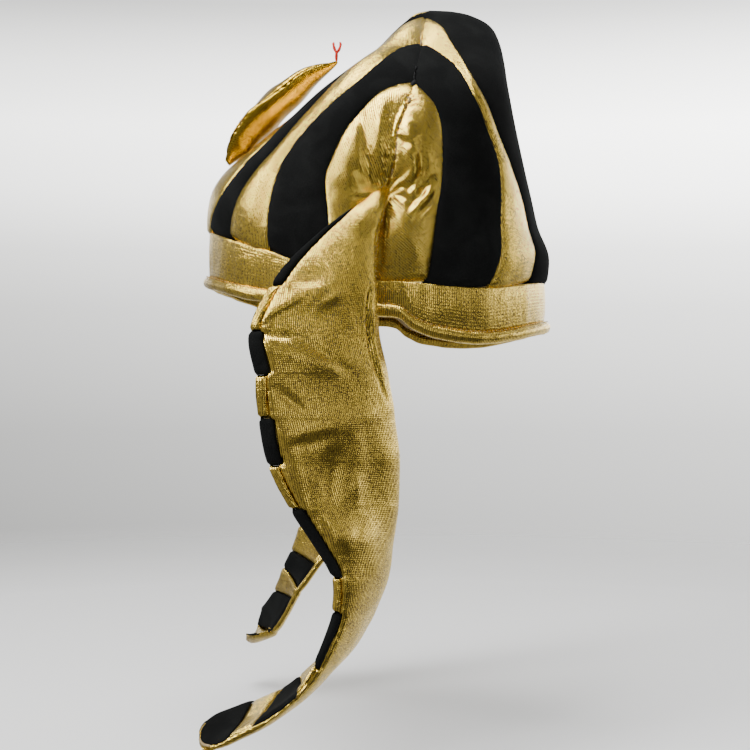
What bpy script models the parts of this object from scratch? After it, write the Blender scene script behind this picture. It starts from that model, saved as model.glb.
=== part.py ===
"""A soft striped pharaoh headdress with two hanging lappets and a stuffed cobra, in metres, +Z up.

It is shown as it is worn. -Y is the front, +X the wearer's left, and the origin is the middle of the
headband, level with its lower edge at the temples.
"""

import math
from collections import namedtuple

import bmesh
import bpy
from mathutils import Vector

# Main sizes
HALF_DEPTH = 0.107
HALF_WIDTH = 0.088
CROWN_TOP = 0.184
CROWN_WALL = 0.0025
BAND_WALL = 0.0022
BAND_INSET = 0.0004
HEM_DEPTH = 0.0068
HEM_WIDTH = 0.0062
HEM_PLUMP_SHARE = 1.15
BAND_TAPER = 0.0004
BAND_BULGE = 0.0006
GAP = 0.0003
PUFF = 0.0014

# The lappets spread from a tuck at a share of HALF_WIDTH. Their edge is a share of their thickness, their
# wraps are shares of their width, and the gap between two stripes is counted in stations.
LAPPET_SPREAD = 0.156
LAPPET_TUCK_SHARE = 0.979
LAPPET_DROP = 0.300
LAPPET_THICKNESS = 0.0085
LAPPET_EDGE_SHARE = 0.45
LAPPET_WRAP_SHARE = 0.12
WRAP_STEP_SHARE = 0.004
LAPPET_SEAM = 0.0007
LAPPET_CUP = 0.004
RIGHT_SWING = 0.040
STRIPE_GAP_COUNT = 0.010

# The cobra's foot stands off the crown's front at a share of its height, and its chord is turned out from
# the crown's slope there.
COBRA_LENGTH = 0.0943
COBRA_HALF_WIDTH = 0.020
COBRA_THICKNESS = 0.0195
COBRA_UPPER_SHARE = 0.8
COBRA_HEIGHT_SHARE = 0.287
COBRA_STAND = 0.0058
COBRA_TURN_DEGREES = 4.8
TONGUE_LENGTH = 0.012
TONGUE_WIDTH = 0.0015

TUCK_HEIGHT = 0.0606
TUCK_DEPTH = 0.007
TUCK_REACH = 0.017

# Mesh density
ACROSS = 5
UP = 13
ROUND = 48
LAPPET_ROWS = 2.4
LAST_SHARE = 0.996

# Where strips start and end: degrees clear of a seam, and shares of the crown's height
STRIP_INSET_DEGREES = 0.14
STRIP_LIFT_SHARE = 0.0012
LOWEST_SHARE = 0.0025
HIGHEST_SHARE = 0.9985

# Heights are shares of the way from the band to the top, lengths are shares of HALF_DEPTH and HALF_WIDTH.
Level = namedtuple("Level", "height front back side seam square")
CROWN_LEVELS = (
    Level(0.00, -0.972, 0.996, 1.000, 0.000, 2.1),
    Level(0.10, -0.968, 1.006, 1.023, 0.010, 2.1),
    Level(0.20, -0.930, 0.945, 1.028, 0.037, 2.1),
    Level(0.30, -0.812, 0.904, 1.028, 0.065, 2.2),
    Level(0.40, -0.650, 0.866, 1.026, 0.107, 2.3),
    Level(0.50, -0.478, 0.826, 1.000, 0.125, 2.5),
    Level(0.60, -0.316, 0.788, 0.940, 0.187, 2.8),
    Level(0.70, -0.146, 0.760, 0.810, 0.224, 3.0),
    Level(0.80, 0.010, 0.742, 0.590, 0.252, 3.0),
    Level(0.88, 0.105, 0.715, 0.400, 0.266, 2.8),
    Level(0.94, 0.180, 0.665, 0.235, 0.275, 2.6),
    Level(0.98, 0.240, 0.560, 0.115, 0.300, 2.4),
    Level(1.00, 0.305, 0.460, 0.012, 0.330, 2.2),
)

# Edge heights of the headband from front (-1) to back (1), as shares of HALF_DEPTH.
Edge = namedtuple("Edge", "place top rim")
BAND_EDGES = (
    Edge(-1.00, 0.430, 0.107),
    Edge(-0.80, 0.342, 0.035),
    Edge(-0.60, 0.271, -0.014),
    Edge(-0.30, 0.165, -0.048),
    Edge(0.00, 0.097, -0.095),
    Edge(0.13, 0.088, -0.108),
    Edge(0.20, 0.083, -0.165),
    Edge(0.33, 0.075, -0.215),
    Edge(0.62, 0.068, -0.241),
    Edge(1.00, 0.122, -0.165),
)

# Each strip edge is an arch that climbs from the band and turns over to the side seam. The rows are even
# steps along it. Angles are degrees from the side seam, and heights are shares of the crown's height.
Arches = namedtuple("Arches", "seam panel black gold middle centre", defaults=(None,))
FRONT_ANGLES = (
    Arches(0.0, 13.9, 36.2, 55.3, 90.0, 78.5),
    Arches(0.0, 16.6, 37.8, 51.0, 90.0, 64.0),
    Arches(0.0, 22.2, 42.2, 51.4, 90.0, 63.0),
    Arches(0.0, 23.5, 39.8, 53.5, 90.0, 69.0),
    Arches(0.0, 22.2, 35.6, 57.0, 90.0, 74.0),
    Arches(0.0, 18.7, 32.1, 60.0, 89.0, 72.0),
    Arches(0.0, 10.7, 23.2, 48.0, 60.0, 45.0),
    Arches(0.0, 0.0, 0.0, 0.0, 0.0, 0.0),
)
FRONT_HEIGHTS = (
    Arches(0.000, 0.000, 0.000, 0.000, 0.000, 0.000),
    Arches(0.172, 0.171, 0.210, 0.252, 0.200, 0.190),
    Arches(0.328, 0.314, 0.392, 0.433, 0.390, 0.360),
    Arches(0.453, 0.428, 0.516, 0.577, 0.570, 0.530),
    Arches(0.540, 0.525, 0.620, 0.700, 0.750, 0.700),
    Arches(0.585, 0.599, 0.719, 0.820, 0.900, 0.860),
    Arches(0.600, 0.641, 0.795, 0.925, 0.990, 0.965),
    Arches(0.604, 0.659, 0.832, 0.972, 0.998, 0.985),
)
BACK_ANGLES = (
    Arches(0.0, 15.7, 38.4, 60.1, 90.0),
    Arches(0.0, 17.7, 45.4, 64.0, 90.0),
    Arches(0.0, 20.1, 47.0, 54.4, 90.0),
    Arches(0.0, 19.4, 41.0, 42.9, 90.0),
    Arches(0.0, 18.9, 32.3, 31.5, 90.0),
    Arches(0.0, 14.0, 23.1, 21.3, 89.0),
    Arches(0.0, 6.4, 11.0, 13.6, 60.0),
    Arches(0.0, 0.0, 0.0, 0.0, 0.0),
)
BACK_HEIGHTS = (
    Arches(0.000, 0.000, 0.000, 0.000, 0.000),
    Arches(0.172, 0.151, 0.201, 0.219, 0.200),
    Arches(0.328, 0.286, 0.381, 0.412, 0.390),
    Arches(0.453, 0.396, 0.516, 0.555, 0.570),
    Arches(0.540, 0.493, 0.632, 0.681, 0.750),
    Arches(0.585, 0.573, 0.735, 0.808, 0.900),
    Arches(0.600, 0.624, 0.793, 0.918, 0.990),
    Arches(0.604, 0.659, 0.832, 0.972, 0.998),
)

# Lappet edges from the tuck down: x from the tuck (0) to LAPPET_SPREAD (1), y in HALF_DEPTH and the drop in
# LAPPET_DROP.
Station = namedtuple("Station", "front_x front_y front_drop rear_x rear_y rear_drop plump")
LAPPET_STATIONS = (
    Station(0.0005, 0.026, 0.005, -0.0006, 0.079, 0.002, 0.55),
    Station(0.2295, -0.157, 0.047, 0.1558, 0.047, 0.042, 0.62),
    Station(0.3411, -0.326, 0.096, 0.1960, 0.005, 0.096, 0.70),
    Station(0.4640, -0.512, 0.170, 0.2138, -0.005, 0.175, 0.90),
    Station(0.5846, -0.632, 0.269, 0.1960, 0.010, 0.274, 1.00),
    Station(0.6427, -0.594, 0.349, 0.1781, 0.047, 0.349, 1.00),
    Station(0.6561, -0.578, 0.426, 0.1692, 0.100, 0.433, 1.00),
    Station(0.6561, -0.543, 0.512, 0.1692, 0.131, 0.508, 1.00),
    Station(0.6561, -0.427, 0.591, 0.1692, 0.126, 0.588, 1.00),
    Station(0.6561, -0.312, 0.653, 0.1558, 0.100, 0.658, 1.00),
    Station(0.6561, -0.216, 0.711, 0.1401, 0.063, 0.728, 0.98),
    Station(0.6851, -0.210, 0.772, 0.1401, -0.021, 0.793, 0.95),
    Station(0.7432, -0.249, 0.820, 0.1692, -0.131, 0.854, 0.92),
    Station(0.8146, -0.312, 0.876, 0.1982, -0.256, 0.873, 0.90),
    Station(0.8705, -0.394, 0.917, 0.2406, -0.433, 0.924, 0.88),
    Station(0.9285, -0.515, 0.951, 0.2987, -0.576, 0.947, 0.85),
    Station(0.9710, -0.620, 0.970, 0.3702, -0.696, 0.958, 0.80),
    Station(1.0000, -0.735, 0.989, 0.4997, -0.820, 0.969, 0.70),
    Station(0.9866, -0.838, 1.004, 0.7700, -0.890, 0.980, 0.45),
)
# Stations where the striped face changes colour; it starts and ends black.
LEFT_STRIPE_ENDS = (0.0, 3.15, 4.0, 5.0, 6.0, 7.0, 8.0, 10.0, 11.0, 12.8, 13.9, 15.9, 16.9, 18.0)
RIGHT_STRIPE_ENDS = (0.0, 3.15, 4.0, 5.0, 6.0, 7.0, 8.0, 10.0, 11.0, 12.1, 13.3, 15.9, 16.9, 18.0)

# How many stations nearer the tuck a stripe's rear end is than its front end.
Lean = namedtuple("Lean", "station left right")
STRIPE_LEANS = (
    Lean(0.0, 0.0, 0.0),
    Lean(12.8, 0.0, 0.0),
    Lean(13.9, 0.20, 0.10),
    Lean(15.9, 1.70, 0.40),
    Lean(16.9, 1.55, 0.30),
    Lean(18.0, 0.0, 0.0),
)

# Cobra sections from its fixed end: place along and rise off its chord in COBRA_LENGTH.
Section = namedtuple("Section", "along rise half_width thickness")
COBRA_SECTIONS = (
    Section(0.00, 0.000, 0.28, 0.16),
    Section(0.08, 0.027, 0.52, 0.47),
    Section(0.17, 0.032, 0.78, 0.80),
    Section(0.32, 0.048, 1.00, 0.98),
    Section(0.46, 0.064, 1.00, 0.98),
    Section(0.62, 0.058, 0.90, 0.95),
    Section(0.77, 0.054, 0.68, 0.80),
    Section(0.90, 0.034, 0.38, 0.50),
    Section(1.00, 0.000, 0.08, 0.09),
)

MATERIALS = {
    "gold_lame": ((0.83, 0.60, 0.24), 0.34, 1.0),
    "black_velvet": ((0.010, 0.010, 0.011), 0.92, 0.0),
    "red_felt": ((0.60, 0.03, 0.02), 0.85, 0.0),
}


def clear_scene():
    for obj in list(bpy.data.objects):
        bpy.data.objects.remove(obj)


def make_material(name):
    colour, roughness, metallic = MATERIALS[name]
    material = bpy.data.materials.new(name)
    material.use_nodes = True
    shader = material.node_tree.nodes["Principled BSDF"]
    shader.inputs["Base Color"].default_value = (*colour, 1.0)
    shader.inputs["Roughness"].default_value = roughness
    shader.inputs["Metallic"].default_value = metallic
    return material


def blend(rows, key, column, at):
    """The column's value where the key column is `at`, on a smooth curve through the rows."""
    keys = [getattr(row, key) for row in rows]
    values = [getattr(row, column) for row in rows]
    at = min(max(at, keys[0]), keys[-1])
    last = len(rows) - 1
    i = next((i for i in range(last) if at <= keys[i + 1]), last - 1)
    span = keys[i + 1] - keys[i]
    t = (at - keys[i]) / span

    def slope(j):
        low, high = max(j - 1, 0), min(j + 1, last)
        return (values[high] - values[low]) / (keys[high] - keys[low])

    rise = values[i + 1] - values[i]
    start, end = slope(i) * span, slope(i + 1) * span
    return values[i] + t * (start + t * (3 * rise - 2 * start - end + t * (start + end - 2 * rise)))


def along(rows, column, at):
    """The column's value at a fractional row number, on a smooth curve through the rows."""
    i = min(int(at), len(rows) - 2)
    t = at - i
    last = len(rows) - 1
    a, b = getattr(rows[i], column), getattr(rows[i + 1], column)
    before, after = getattr(rows[max(i - 1, 0)], column), getattr(rows[min(i + 2, last)], column)
    start, end = (b - before) / 2, (after - a) / 2
    return a + t * (start + t * (3 * (b - a) - 2 * start - end + t * (start + end - 2 * (b - a))))


def fill_end(mesh, ring):
    """Fills a section loop: a loop with an even count goes there and back across the section, so its
    points are joined in pairs, and any other is flat."""
    last = len(ring) - 1
    if last % 2 == 0:
        mesh.faces.new(ring)
        return
    for k in range(last // 2):
        mesh.faces.new((ring[k], ring[k + 1], ring[last - k - 1]))
        mesh.faces.new((ring[k], ring[last - k - 1], ring[last - k]))


def loft(name, loops, closed=False, crossed=()):
    """A solid through unlike section loops: a ring if closed, otherwise with its two ends filled. Each
    four-sided face is split along one diagonal, or the other at the places in `crossed`, so that two
    pieces that share a seam are split alike."""
    mesh = bmesh.new()
    rings = [[mesh.verts.new(point) for point in loop] for loop in loops]
    count = len(rings[0])
    pairs = list(zip(rings, rings[1:] + rings[:1])) if closed else list(zip(rings, rings[1:]))
    for first, second in pairs:
        for i in range(count):
            j = (i + 1) % count
            if i in crossed:
                mesh.faces.new((first[i], first[j], second[i]))
                mesh.faces.new((first[j], second[j], second[i]))
            else:
                mesh.faces.new((first[i], first[j], second[j]))
                mesh.faces.new((first[i], second[j], second[i]))
    if not closed:
        fill_end(mesh, rings[0])
        fill_end(mesh, rings[-1])
    bmesh.ops.recalc_face_normals(mesh, faces=mesh.faces)
    if mesh.calc_volume(signed=True) < 0:
        bmesh.ops.reverse_faces(mesh, faces=mesh.faces)
    data = bpy.data.meshes.new(name)
    mesh.to_mesh(data)
    mesh.free()
    return data


def add_node(name, data, material, collection):
    node = bpy.data.objects.new(name, data)
    node.data.materials.append(material)
    collection.objects.link(node)
    return node


def strip_loft(name, outer, inner):
    """A thin shell from two matching grids of points, outer and inner, one row for each section."""
    loops = [top + bottom[::-1] for top, bottom in zip(outer, inner)]
    return loft(name, loops, crossed=(ACROSS,))


def band_height(place, column):
    return HALF_DEPTH * blend(BAND_EDGES, "place", column, place)


def crown_skin(angle, height):
    """A point of the crown's smooth outer skin; angle is degrees from the side seam, past 90 beyond the
    mid-plane, and negative angles are the back."""
    end = "front" if angle > 0 else "back"
    turn = math.radians(abs(angle))
    side = HALF_WIDTH * blend(CROWN_LEVELS, "height", "side", height)
    seam = HALF_DEPTH * blend(CROWN_LEVELS, "height", "seam", height)
    reach = HALF_DEPTH * blend(CROWN_LEVELS, "height", end, height) - seam
    square = blend(CROWN_LEVELS, "height", "square", height)
    across, forward = math.cos(turn), math.sin(turn)
    round_off = (abs(across) ** square + abs(forward) ** square) ** (1 / square)
    foot = band_height(getattr(CROWN_LEVELS[0], end) * forward / round_off, "top")
    y = seam + reach * forward / round_off
    return Vector((side * across / round_off, y, foot + (CROWN_TOP - foot) * height))


def crown_normal(angle, height):
    """Outward direction of the crown's skin, turned into the mid-plane for a point that is nearly on it."""
    turn, lift = 0.8, 0.008
    beside = min(crown_skin(angle, height).x / (3 * CROWN_WALL), 1.0)
    height = min(max(height, lift), 1.0 - lift)
    span = crown_skin(angle - turn, height) - crown_skin(angle + turn, height)
    rise = crown_skin(angle, height + lift) - crown_skin(angle, height - lift)
    outward = span.cross(rise)
    outward.x *= beside
    return outward.normalized()


def tuck_dent(point):
    """How far the skin is drawn in round the tuck, where the lappet is caught into the crown."""
    away = math.hypot(point.y - 0.06 * HALF_DEPTH, point.z - TUCK_HEIGHT)
    return TUCK_DEPTH * math.exp(-((away / TUCK_REACH) ** 2)) * (abs(point.x) > HALF_WIDTH / 2)


def seam_place(z):
    """Where the side seam is from front to back, at a height above the origin."""
    foot = band_height(0.0, "top")
    return HALF_DEPTH * blend(CROWN_LEVELS, "height", "seam", (z - foot) / (CROWN_TOP - foot))


def crown_point(angle, height, puff, depth):
    """A point of a strip, kept on its own side of the side seam: `angle` is negative at the back."""
    skin = crown_skin(angle, height)
    point = skin + crown_normal(angle, height) * (puff - depth - tuck_dent(skin))
    seam = seam_place(point.z)
    point.y = min(point.y, seam - GAP / 2) if angle > 0 else max(point.y, seam + GAP / 2)
    return point


def arch_place(name, back, step):
    """Angle and height on an arch, for a step from 0 at the band to 1 at the side seam."""
    angles, heights = (BACK_ANGLES, BACK_HEIGHTS) if back else (FRONT_ANGLES, FRONT_HEIGHTS)
    at = step * (len(angles) - 1)
    return along(angles, name, at), along(heights, name, at)


def strip_points(first, second, back, mirror, depth):
    """Rows of points between two arches, on the strip's outer face if the depth is 0. The two arches are
    the same for a strip that runs over the mid-plane."""
    rows = []
    for i in range(UP + 1):
        step = LAST_SHARE * i / UP
        shares = [j / ACROSS for j in range(ACROSS + 1)]
        rows.append([strip_point(first, second, back, mirror, step, share, depth) for share in shares])
    return rows


def strip_point(first, second, back, mirror, step, share, depth):
    over = first == second
    reach = 1 - abs(2 * share - 1) if over else share
    low = arch_place(first, back, step)
    high = arch_place("middle" if over else second, back, step)
    clear = 1 - reach if over else 1 - 2 * share
    angle = low[0] + (high[0] - low[0]) * reach + STRIP_INSET_DEGREES * clear
    height = max(low[1] + (high[1] - low[1]) * reach, LOWEST_SHARE) + STRIP_LIFT_SHARE * clear
    angle = max(angle, STRIP_INSET_DEGREES)
    puff = 0 if depth else PUFF * 4 * share * (1 - share)
    point = crown_point(-angle if back else angle, min(height, HIGHEST_SHARE), puff, depth)
    beyond = over and share > 0.5
    point.x *= -mirror if beyond else mirror
    return point


def add_crown(collection, gold, black):
    rows = (
        ("front_side_panel", "seam", "panel", False, gold),
        ("front_inner_black", "panel", "black", False, black),
        ("front_outer_gold", "black", "gold", False, gold),
        ("front_outer_black", "gold", "centre", False, black),
        ("front_centre_gold", "centre", "centre", False, gold),
        ("back_side_panel", "seam", "panel", True, gold),
        ("back_inner_black", "panel", "black", True, black),
        ("back_outer_gold", "black", "gold", True, gold),
        ("back_centre_black", "gold", "gold", True, black),
    )
    for name, first, second, back, material in rows:
        sides = (("", 1),) if first == second else (("_left", 1), ("_right", -1))
        for suffix, mirror in sides:
            outer = strip_points(first, second, back, mirror, 0.0)
            inner = strip_points(first, second, back, mirror, CROWN_WALL)
            add_node("crown_" + name + suffix, strip_loft(name, outer, inner), material, collection)


def ring_point(turn, inset, height):
    """A point on the band's outline, `inset` in from the crown's foot, and its place from front to back."""
    angle = math.degrees(math.asin(abs(math.sin(turn)))) * (1 if math.sin(turn) < 0 else -1)
    skin = crown_skin(angle, 0.0)
    x = math.copysign(skin.x, math.cos(turn))
    away = Vector((x / HALF_WIDTH, skin.y / HALF_DEPTH, 0)).normalized()
    return Vector((x, skin.y, 0)) - away * inset + Vector((0, 0, height))


def ring_heights(turn):
    place = ring_point(turn, 0, 0).y / HALF_DEPTH
    return band_height(place, "top"), band_height(place, "rim")


def add_headband(collection, gold):
    band, hem = [], []
    for i in range(ROUND):
        turn = 2 * math.pi * i / ROUND
        top, rim = ring_heights(turn)
        top, low = top - 2 * GAP, rim + HEM_DEPTH + GAP
        band.append(band_section(turn, low, top))
        hem.append(hem_section(turn, rim))
    add_node("headband", loft("headband", band, closed=True), gold, collection)
    add_node("headband_rolled_hem", loft("headband_rolled_hem", hem, closed=True), gold, collection)


def band_section(turn, low, top):
    """The band's section: it is drawn in at the hem and bulges a little above it."""
    inner = BAND_INSET + BAND_WALL
    return [
        ring_point(turn, BAND_INSET + BAND_TAPER, low),
        ring_point(turn, BAND_INSET - BAND_BULGE, (top + low) / 2),
        ring_point(turn, BAND_INSET, top),
        ring_point(turn, inner, top),
        ring_point(turn, inner, low),
    ]


def hem_section(turn, rim):
    middle = BAND_INSET + BAND_WALL / 2
    section = []
    for k in range(6):
        inset = middle - HEM_WIDTH / 2 * math.cos(k * math.pi / 3)
        lift = HEM_DEPTH / 2 * HEM_PLUMP_SHARE * math.sin(k * math.pi / 3)
        section.append(ring_point(turn, inset, rim + HEM_DEPTH / 2 + lift))
    return section


def lappet_edges(at, mirror):
    """Points on the front and rear edges of a lappet at a fractional station, as if it were the left one."""
    tuck = LAPPET_TUCK_SHARE * HALF_WIDTH
    found = []
    for share, edge in enumerate(("front", "rear")):
        x = tuck + (LAPPET_SPREAD - tuck) * along(LAPPET_STATIONS, edge + "_x", at)
        y = HALF_DEPTH * along(LAPPET_STATIONS, edge + "_y", at)
        drop = LAPPET_DROP * along(LAPPET_STATIONS, edge + "_drop", at)
        swing = right_swing(at, share) if mirror < 0 else 0
        found.append(Vector((x, y - swing, TUCK_HEIGHT - drop)))
    return found


def lappet_outward(at, mirror):
    """The way the gold back faces at a fractional station."""
    step = 0.35
    above = lappet_edges(max(at - step, 0), mirror)
    below = lappet_edges(min(at + step, len(LAPPET_STATIONS) - 1), mirror)
    down = (below[0] + below[1]) - (above[0] + above[1])
    front, rear = lappet_edges(at, mirror)
    return down.cross(rear - front).normalized()


def lappet_point(at, share, layer, mirror, lift=0.0):
    """A point across the lappet: share 0 is its front edge and 1 its rear edge. Layer 1 is the gold back,
    -1 the striped face and 0 the seam between them, from which `lift` is measured."""
    at -= blend(STRIPE_LEANS, "station", "left" if mirror > 0 else "right", at) * share
    front, rear = lappet_edges(at, mirror)
    plump = along(LAPPET_STATIONS, "plump", at)
    shape = max(1 - abs(2 * share - 1) ** 3, 0.0) ** 0.5
    half = LAPPET_THICKNESS / 2 * plump * (LAPPET_EDGE_SHARE + (1 - LAPPET_EDGE_SHARE) * shape)
    cup = LAPPET_CUP * plump * math.sin(math.pi * share)
    point = front.lerp(rear, share) + lappet_outward(at, mirror) * (cup + layer * half + lift)
    point.x *= mirror
    return point


def right_swing(at, share):
    """How far forward of the left one the right lappet hangs, at its front edge (0) or rear edge (1)."""
    grow = min(max((at - 5.0) / 7.0, 0.0), 1.0)
    fade = min(max((at - 14.0 + 2.0 * share) / (4.0 - 0.2 * share), 0.0), 1.0)
    return RIGHT_SWING * grow * grow * (3 - 2 * grow) * (1 - fade)


def wrap_at(at):
    """Share of the width that the striped face wraps onto the back, less where the strap curls."""
    fade = min(max((at - 11.0) / 4.0, 0.0), 1.0)
    return LAPPET_WRAP_SHARE * (1 - 0.7 * fade * fade * (3 - 2 * fade))


def striped_section(at, mirror):
    """The section of a stripe: under the whole width, round the front edge and onto the back."""
    wrap = wrap_at(at)
    round_edge, across = (0.0, wrap / 2, wrap), (0.3, 0.5, 0.75, 1.0)
    under_shares = (*round_edge, (wrap + across[0]) / 2, *across)
    edge = [lappet_point(at, share, 1.0, mirror) for share in round_edge]
    seam = [lappet_point(at, s, 0.0, mirror, -LAPPET_SEAM / 2) for s in (wrap + WRAP_STEP_SHARE, *across)]
    under = [lappet_point(at, share, -1.0, mirror) for share in reversed(under_shares)]
    return edge + seam + under


def backing_section(at, mirror):
    """The section of the gold back: from the edge of the stripes to the rear edge, over their seam."""
    front, rear = lappet_edges(at, mirror)
    start = wrap_at(at) + WRAP_STEP_SHARE + LAPPET_SEAM / (rear - front).length
    shares = (start, 0.3, 0.5, 0.75, 1.0)
    top = [lappet_point(at, s, 1.0, mirror) for s in shares]
    under = [lappet_point(at, s, 0.0, mirror, LAPPET_SEAM / 2) for s in reversed(shares)]
    return top + under


def add_lappet(collection, side, mirror, gold, black):
    stations = [0.0]
    ends = LEFT_STRIPE_ENDS if mirror > 0 else RIGHT_STRIPE_ENDS
    for number, (start, end) in enumerate(zip(ends, ends[1:]), 1):
        low = start + (STRIPE_GAP_COUNT if number > 1 else 0)
        high = end - STRIPE_GAP_COUNT
        rows = max(round((end - start) * LAPPET_ROWS), 2)
        stations += [start + (end - start) * i / rows for i in range(1, rows + 1)]
        loops = [striped_section(low + (high - low) * i / rows, mirror) for i in range(rows + 1)]
        colour, word = (black, "black") if number % 2 else (gold, "gold")
        name = f"lappet_{side}_stripe_{number:02d}_{word}"
        add_node(name, loft("lappet_stripe", loops), colour, collection)
    back = [backing_section(at, mirror) for at in stations]
    add_node(f"lappet_{side}_gold_back", loft("lappet_back", back, crossed=range(5, 10)), gold, collection)


def cobra_frame():
    """The cobra's foot, the direction of its chord and the direction away from the crown."""
    foot = crown_skin(90, COBRA_HEIGHT_SHARE)
    slope = crown_skin(90, 2 * COBRA_HEIGHT_SHARE) - foot
    lean = math.atan2(slope.z, slope.y) + math.radians(COBRA_TURN_DEGREES)
    chord = Vector((0, math.cos(lean), math.sin(lean)))
    outward = crown_normal(90, COBRA_HEIGHT_SHARE)
    foot.x = outward.x = 0
    return foot + outward.normalized() * COBRA_STAND, chord, Vector((0, -chord.z, chord.y))


def cobra_middle(section):
    """The middle of a section of the cobra, and the direction away from the crown."""
    foot, chord, rise = cobra_frame()
    return foot + (chord * section.along + rise * section.rise) * COBRA_LENGTH, rise


def cobra_section(section):
    middle, rise = cobra_middle(section)
    loop = []
    for k in range(12):
        turn = 2 * math.pi * k / 12
        x = section.half_width * COBRA_HALF_WIDTH * math.cos(turn)
        lift = section.thickness * COBRA_THICKNESS / 2 * math.sin(turn)
        loop.append(middle + Vector((x, 0, 0)) + rise * (lift * COBRA_UPPER_SHARE if lift > 0 else lift))
    return loop


def add_cobra(collection, gold, red):
    body = loft("cobra_body", [cobra_section(section) for section in COBRA_SECTIONS])
    add_node("cobra_body", body, gold, collection)
    add_tongue(collection, red)


def add_tongue(collection, red):
    """A flat forked tongue on the cobra's tip; its outline is in half widths and tongue lengths."""
    tip = cobra_middle(COBRA_SECTIONS[-1])[0]
    half = TONGUE_WIDTH / 2
    outline = (
        (-0.6, 0.10), (-0.9, 0.45), (-2.6, 0.95), (-1.2, 1.0), (0.0, 0.62),
        (1.8, 1.0), (3.0, 0.92), (0.9, 0.45), (0.6, 0.10),
    )
    loops = []
    for x in (-half, half):
        loops.append([tip + Vector((x, y * half, z * TONGUE_LENGTH)) for y, z in outline])
    add_node("cobra_tongue", loft("cobra_tongue", loops), red, collection)


def main():
    clear_scene()
    collection = bpy.data.collections.new("pharaoh_headdress")
    bpy.context.scene.collection.children.link(collection)
    gold, black, red = (make_material(name) for name in MATERIALS)
    add_crown(collection, gold, black)
    add_headband(collection, gold)
    add_lappet(collection, "left", 1, gold, black)
    add_lappet(collection, "right", -1, gold, black)
    add_cobra(collection, gold, red)


main()
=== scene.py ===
"""The finished look of a soft, striped pharaoh headdress: crown, headband, lappets and a stuffed cobra.

Lengths are in metres and turns in degrees unless a name or a docstring says otherwise. -Y is the front,
+X the wearer's left and +Z up. Each piece of cloth starts as a flat grid, is laid over a form worked out
from tables, and then gets its relief: sewn seams, folds, puckers and crinkles.
"""

from __future__ import annotations

import logging
import math
from abc import ABC, abstractmethod
from collections.abc import Callable, Sequence
from dataclasses import dataclass, field
from enum import Enum
from itertools import product
from typing import NamedTuple, Protocol

import bmesh
import bpy
import numpy as np
from mathutils import Matrix, Vector


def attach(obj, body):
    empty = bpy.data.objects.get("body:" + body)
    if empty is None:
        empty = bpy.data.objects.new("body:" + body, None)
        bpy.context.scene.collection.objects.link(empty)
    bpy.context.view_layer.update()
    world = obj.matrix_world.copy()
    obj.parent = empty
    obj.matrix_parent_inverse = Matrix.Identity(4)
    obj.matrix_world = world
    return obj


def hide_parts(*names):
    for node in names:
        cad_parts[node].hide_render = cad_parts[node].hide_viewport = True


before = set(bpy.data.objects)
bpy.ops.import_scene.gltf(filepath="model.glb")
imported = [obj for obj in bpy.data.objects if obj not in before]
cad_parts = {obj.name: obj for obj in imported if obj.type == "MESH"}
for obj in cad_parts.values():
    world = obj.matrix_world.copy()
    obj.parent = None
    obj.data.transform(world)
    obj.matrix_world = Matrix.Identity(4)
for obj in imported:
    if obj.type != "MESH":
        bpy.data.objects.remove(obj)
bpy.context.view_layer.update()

Array = np.ndarray
Place = Callable[[Array, Array], Array]
Triple = tuple[float, float, float]
Colour = Triple
LOG = logging.getLogger("headdress")
BODY = "root"
CLOTH_MAP = "cloth"
MM_PER_M = 1000


class Slot(Enum):
    """The record's material slots."""

    GOLD = "gold_lame"
    BLACK = "black_velvet"
    RED = "red_felt"


class Side(Enum):
    """The wearer's sides, as the sign of X."""

    LEFT = 1
    RIGHT = -1

    @property
    def word(self) -> str:
        """The side's name in a node's name."""
        return self.name.lower()


# Shader graphs


class Signal:
    """A shader socket that holds a number, whose arithmetic adds Math nodes."""

    def __init__(self, graph: "ShaderGraph", socket: bpy.types.NodeSocket) -> None:
        """Wraps an output socket of the graph."""
        self.graph = graph
        self.socket = socket

    def _math(self, operation: str, *values: "Signal | float") -> "Signal":
        """The result of a Math node.

        Args:
            operation: The node's operation.
            values: Its inputs in order.

        Returns:
            The result.
        """
        inputs = dict(enumerate(values))
        node = self.graph.node("ShaderNodeMath", {"operation": operation}, inputs)
        return Signal(self.graph, node.outputs[0])

    def __add__(self, other: "Signal | float") -> "Signal":
        """The sum."""
        return self._math("ADD", self, other)

    __radd__ = __add__

    def __sub__(self, other: "Signal | float") -> "Signal":
        """The difference."""
        return self._math("SUBTRACT", self, other)

    def __rsub__(self, other: "Signal | float") -> "Signal":
        """The difference, the other way round."""
        return self._math("SUBTRACT", other, self)

    def __mul__(self, other: "Signal | float") -> "Signal":
        """The product."""
        return self._math("MULTIPLY", self, other)

    __rmul__ = __mul__

    def __truediv__(self, other: "Signal | float") -> "Signal":
        """The quotient."""
        return self._math("DIVIDE", self, other)

    def __rtruediv__(self, other: "Signal | float") -> "Signal":
        """The quotient, the other way round."""
        return self._math("DIVIDE", other, self)

    def sine(self) -> "Signal":
        """The sine, of radians."""
        return self._math("SINE", self)

    def clamped(self, top: float = 1.0) -> "Signal":
        """The value kept between 0 and a top value."""
        return self._math("MINIMUM", self._math("MAXIMUM", self, 0.0), top)


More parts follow.
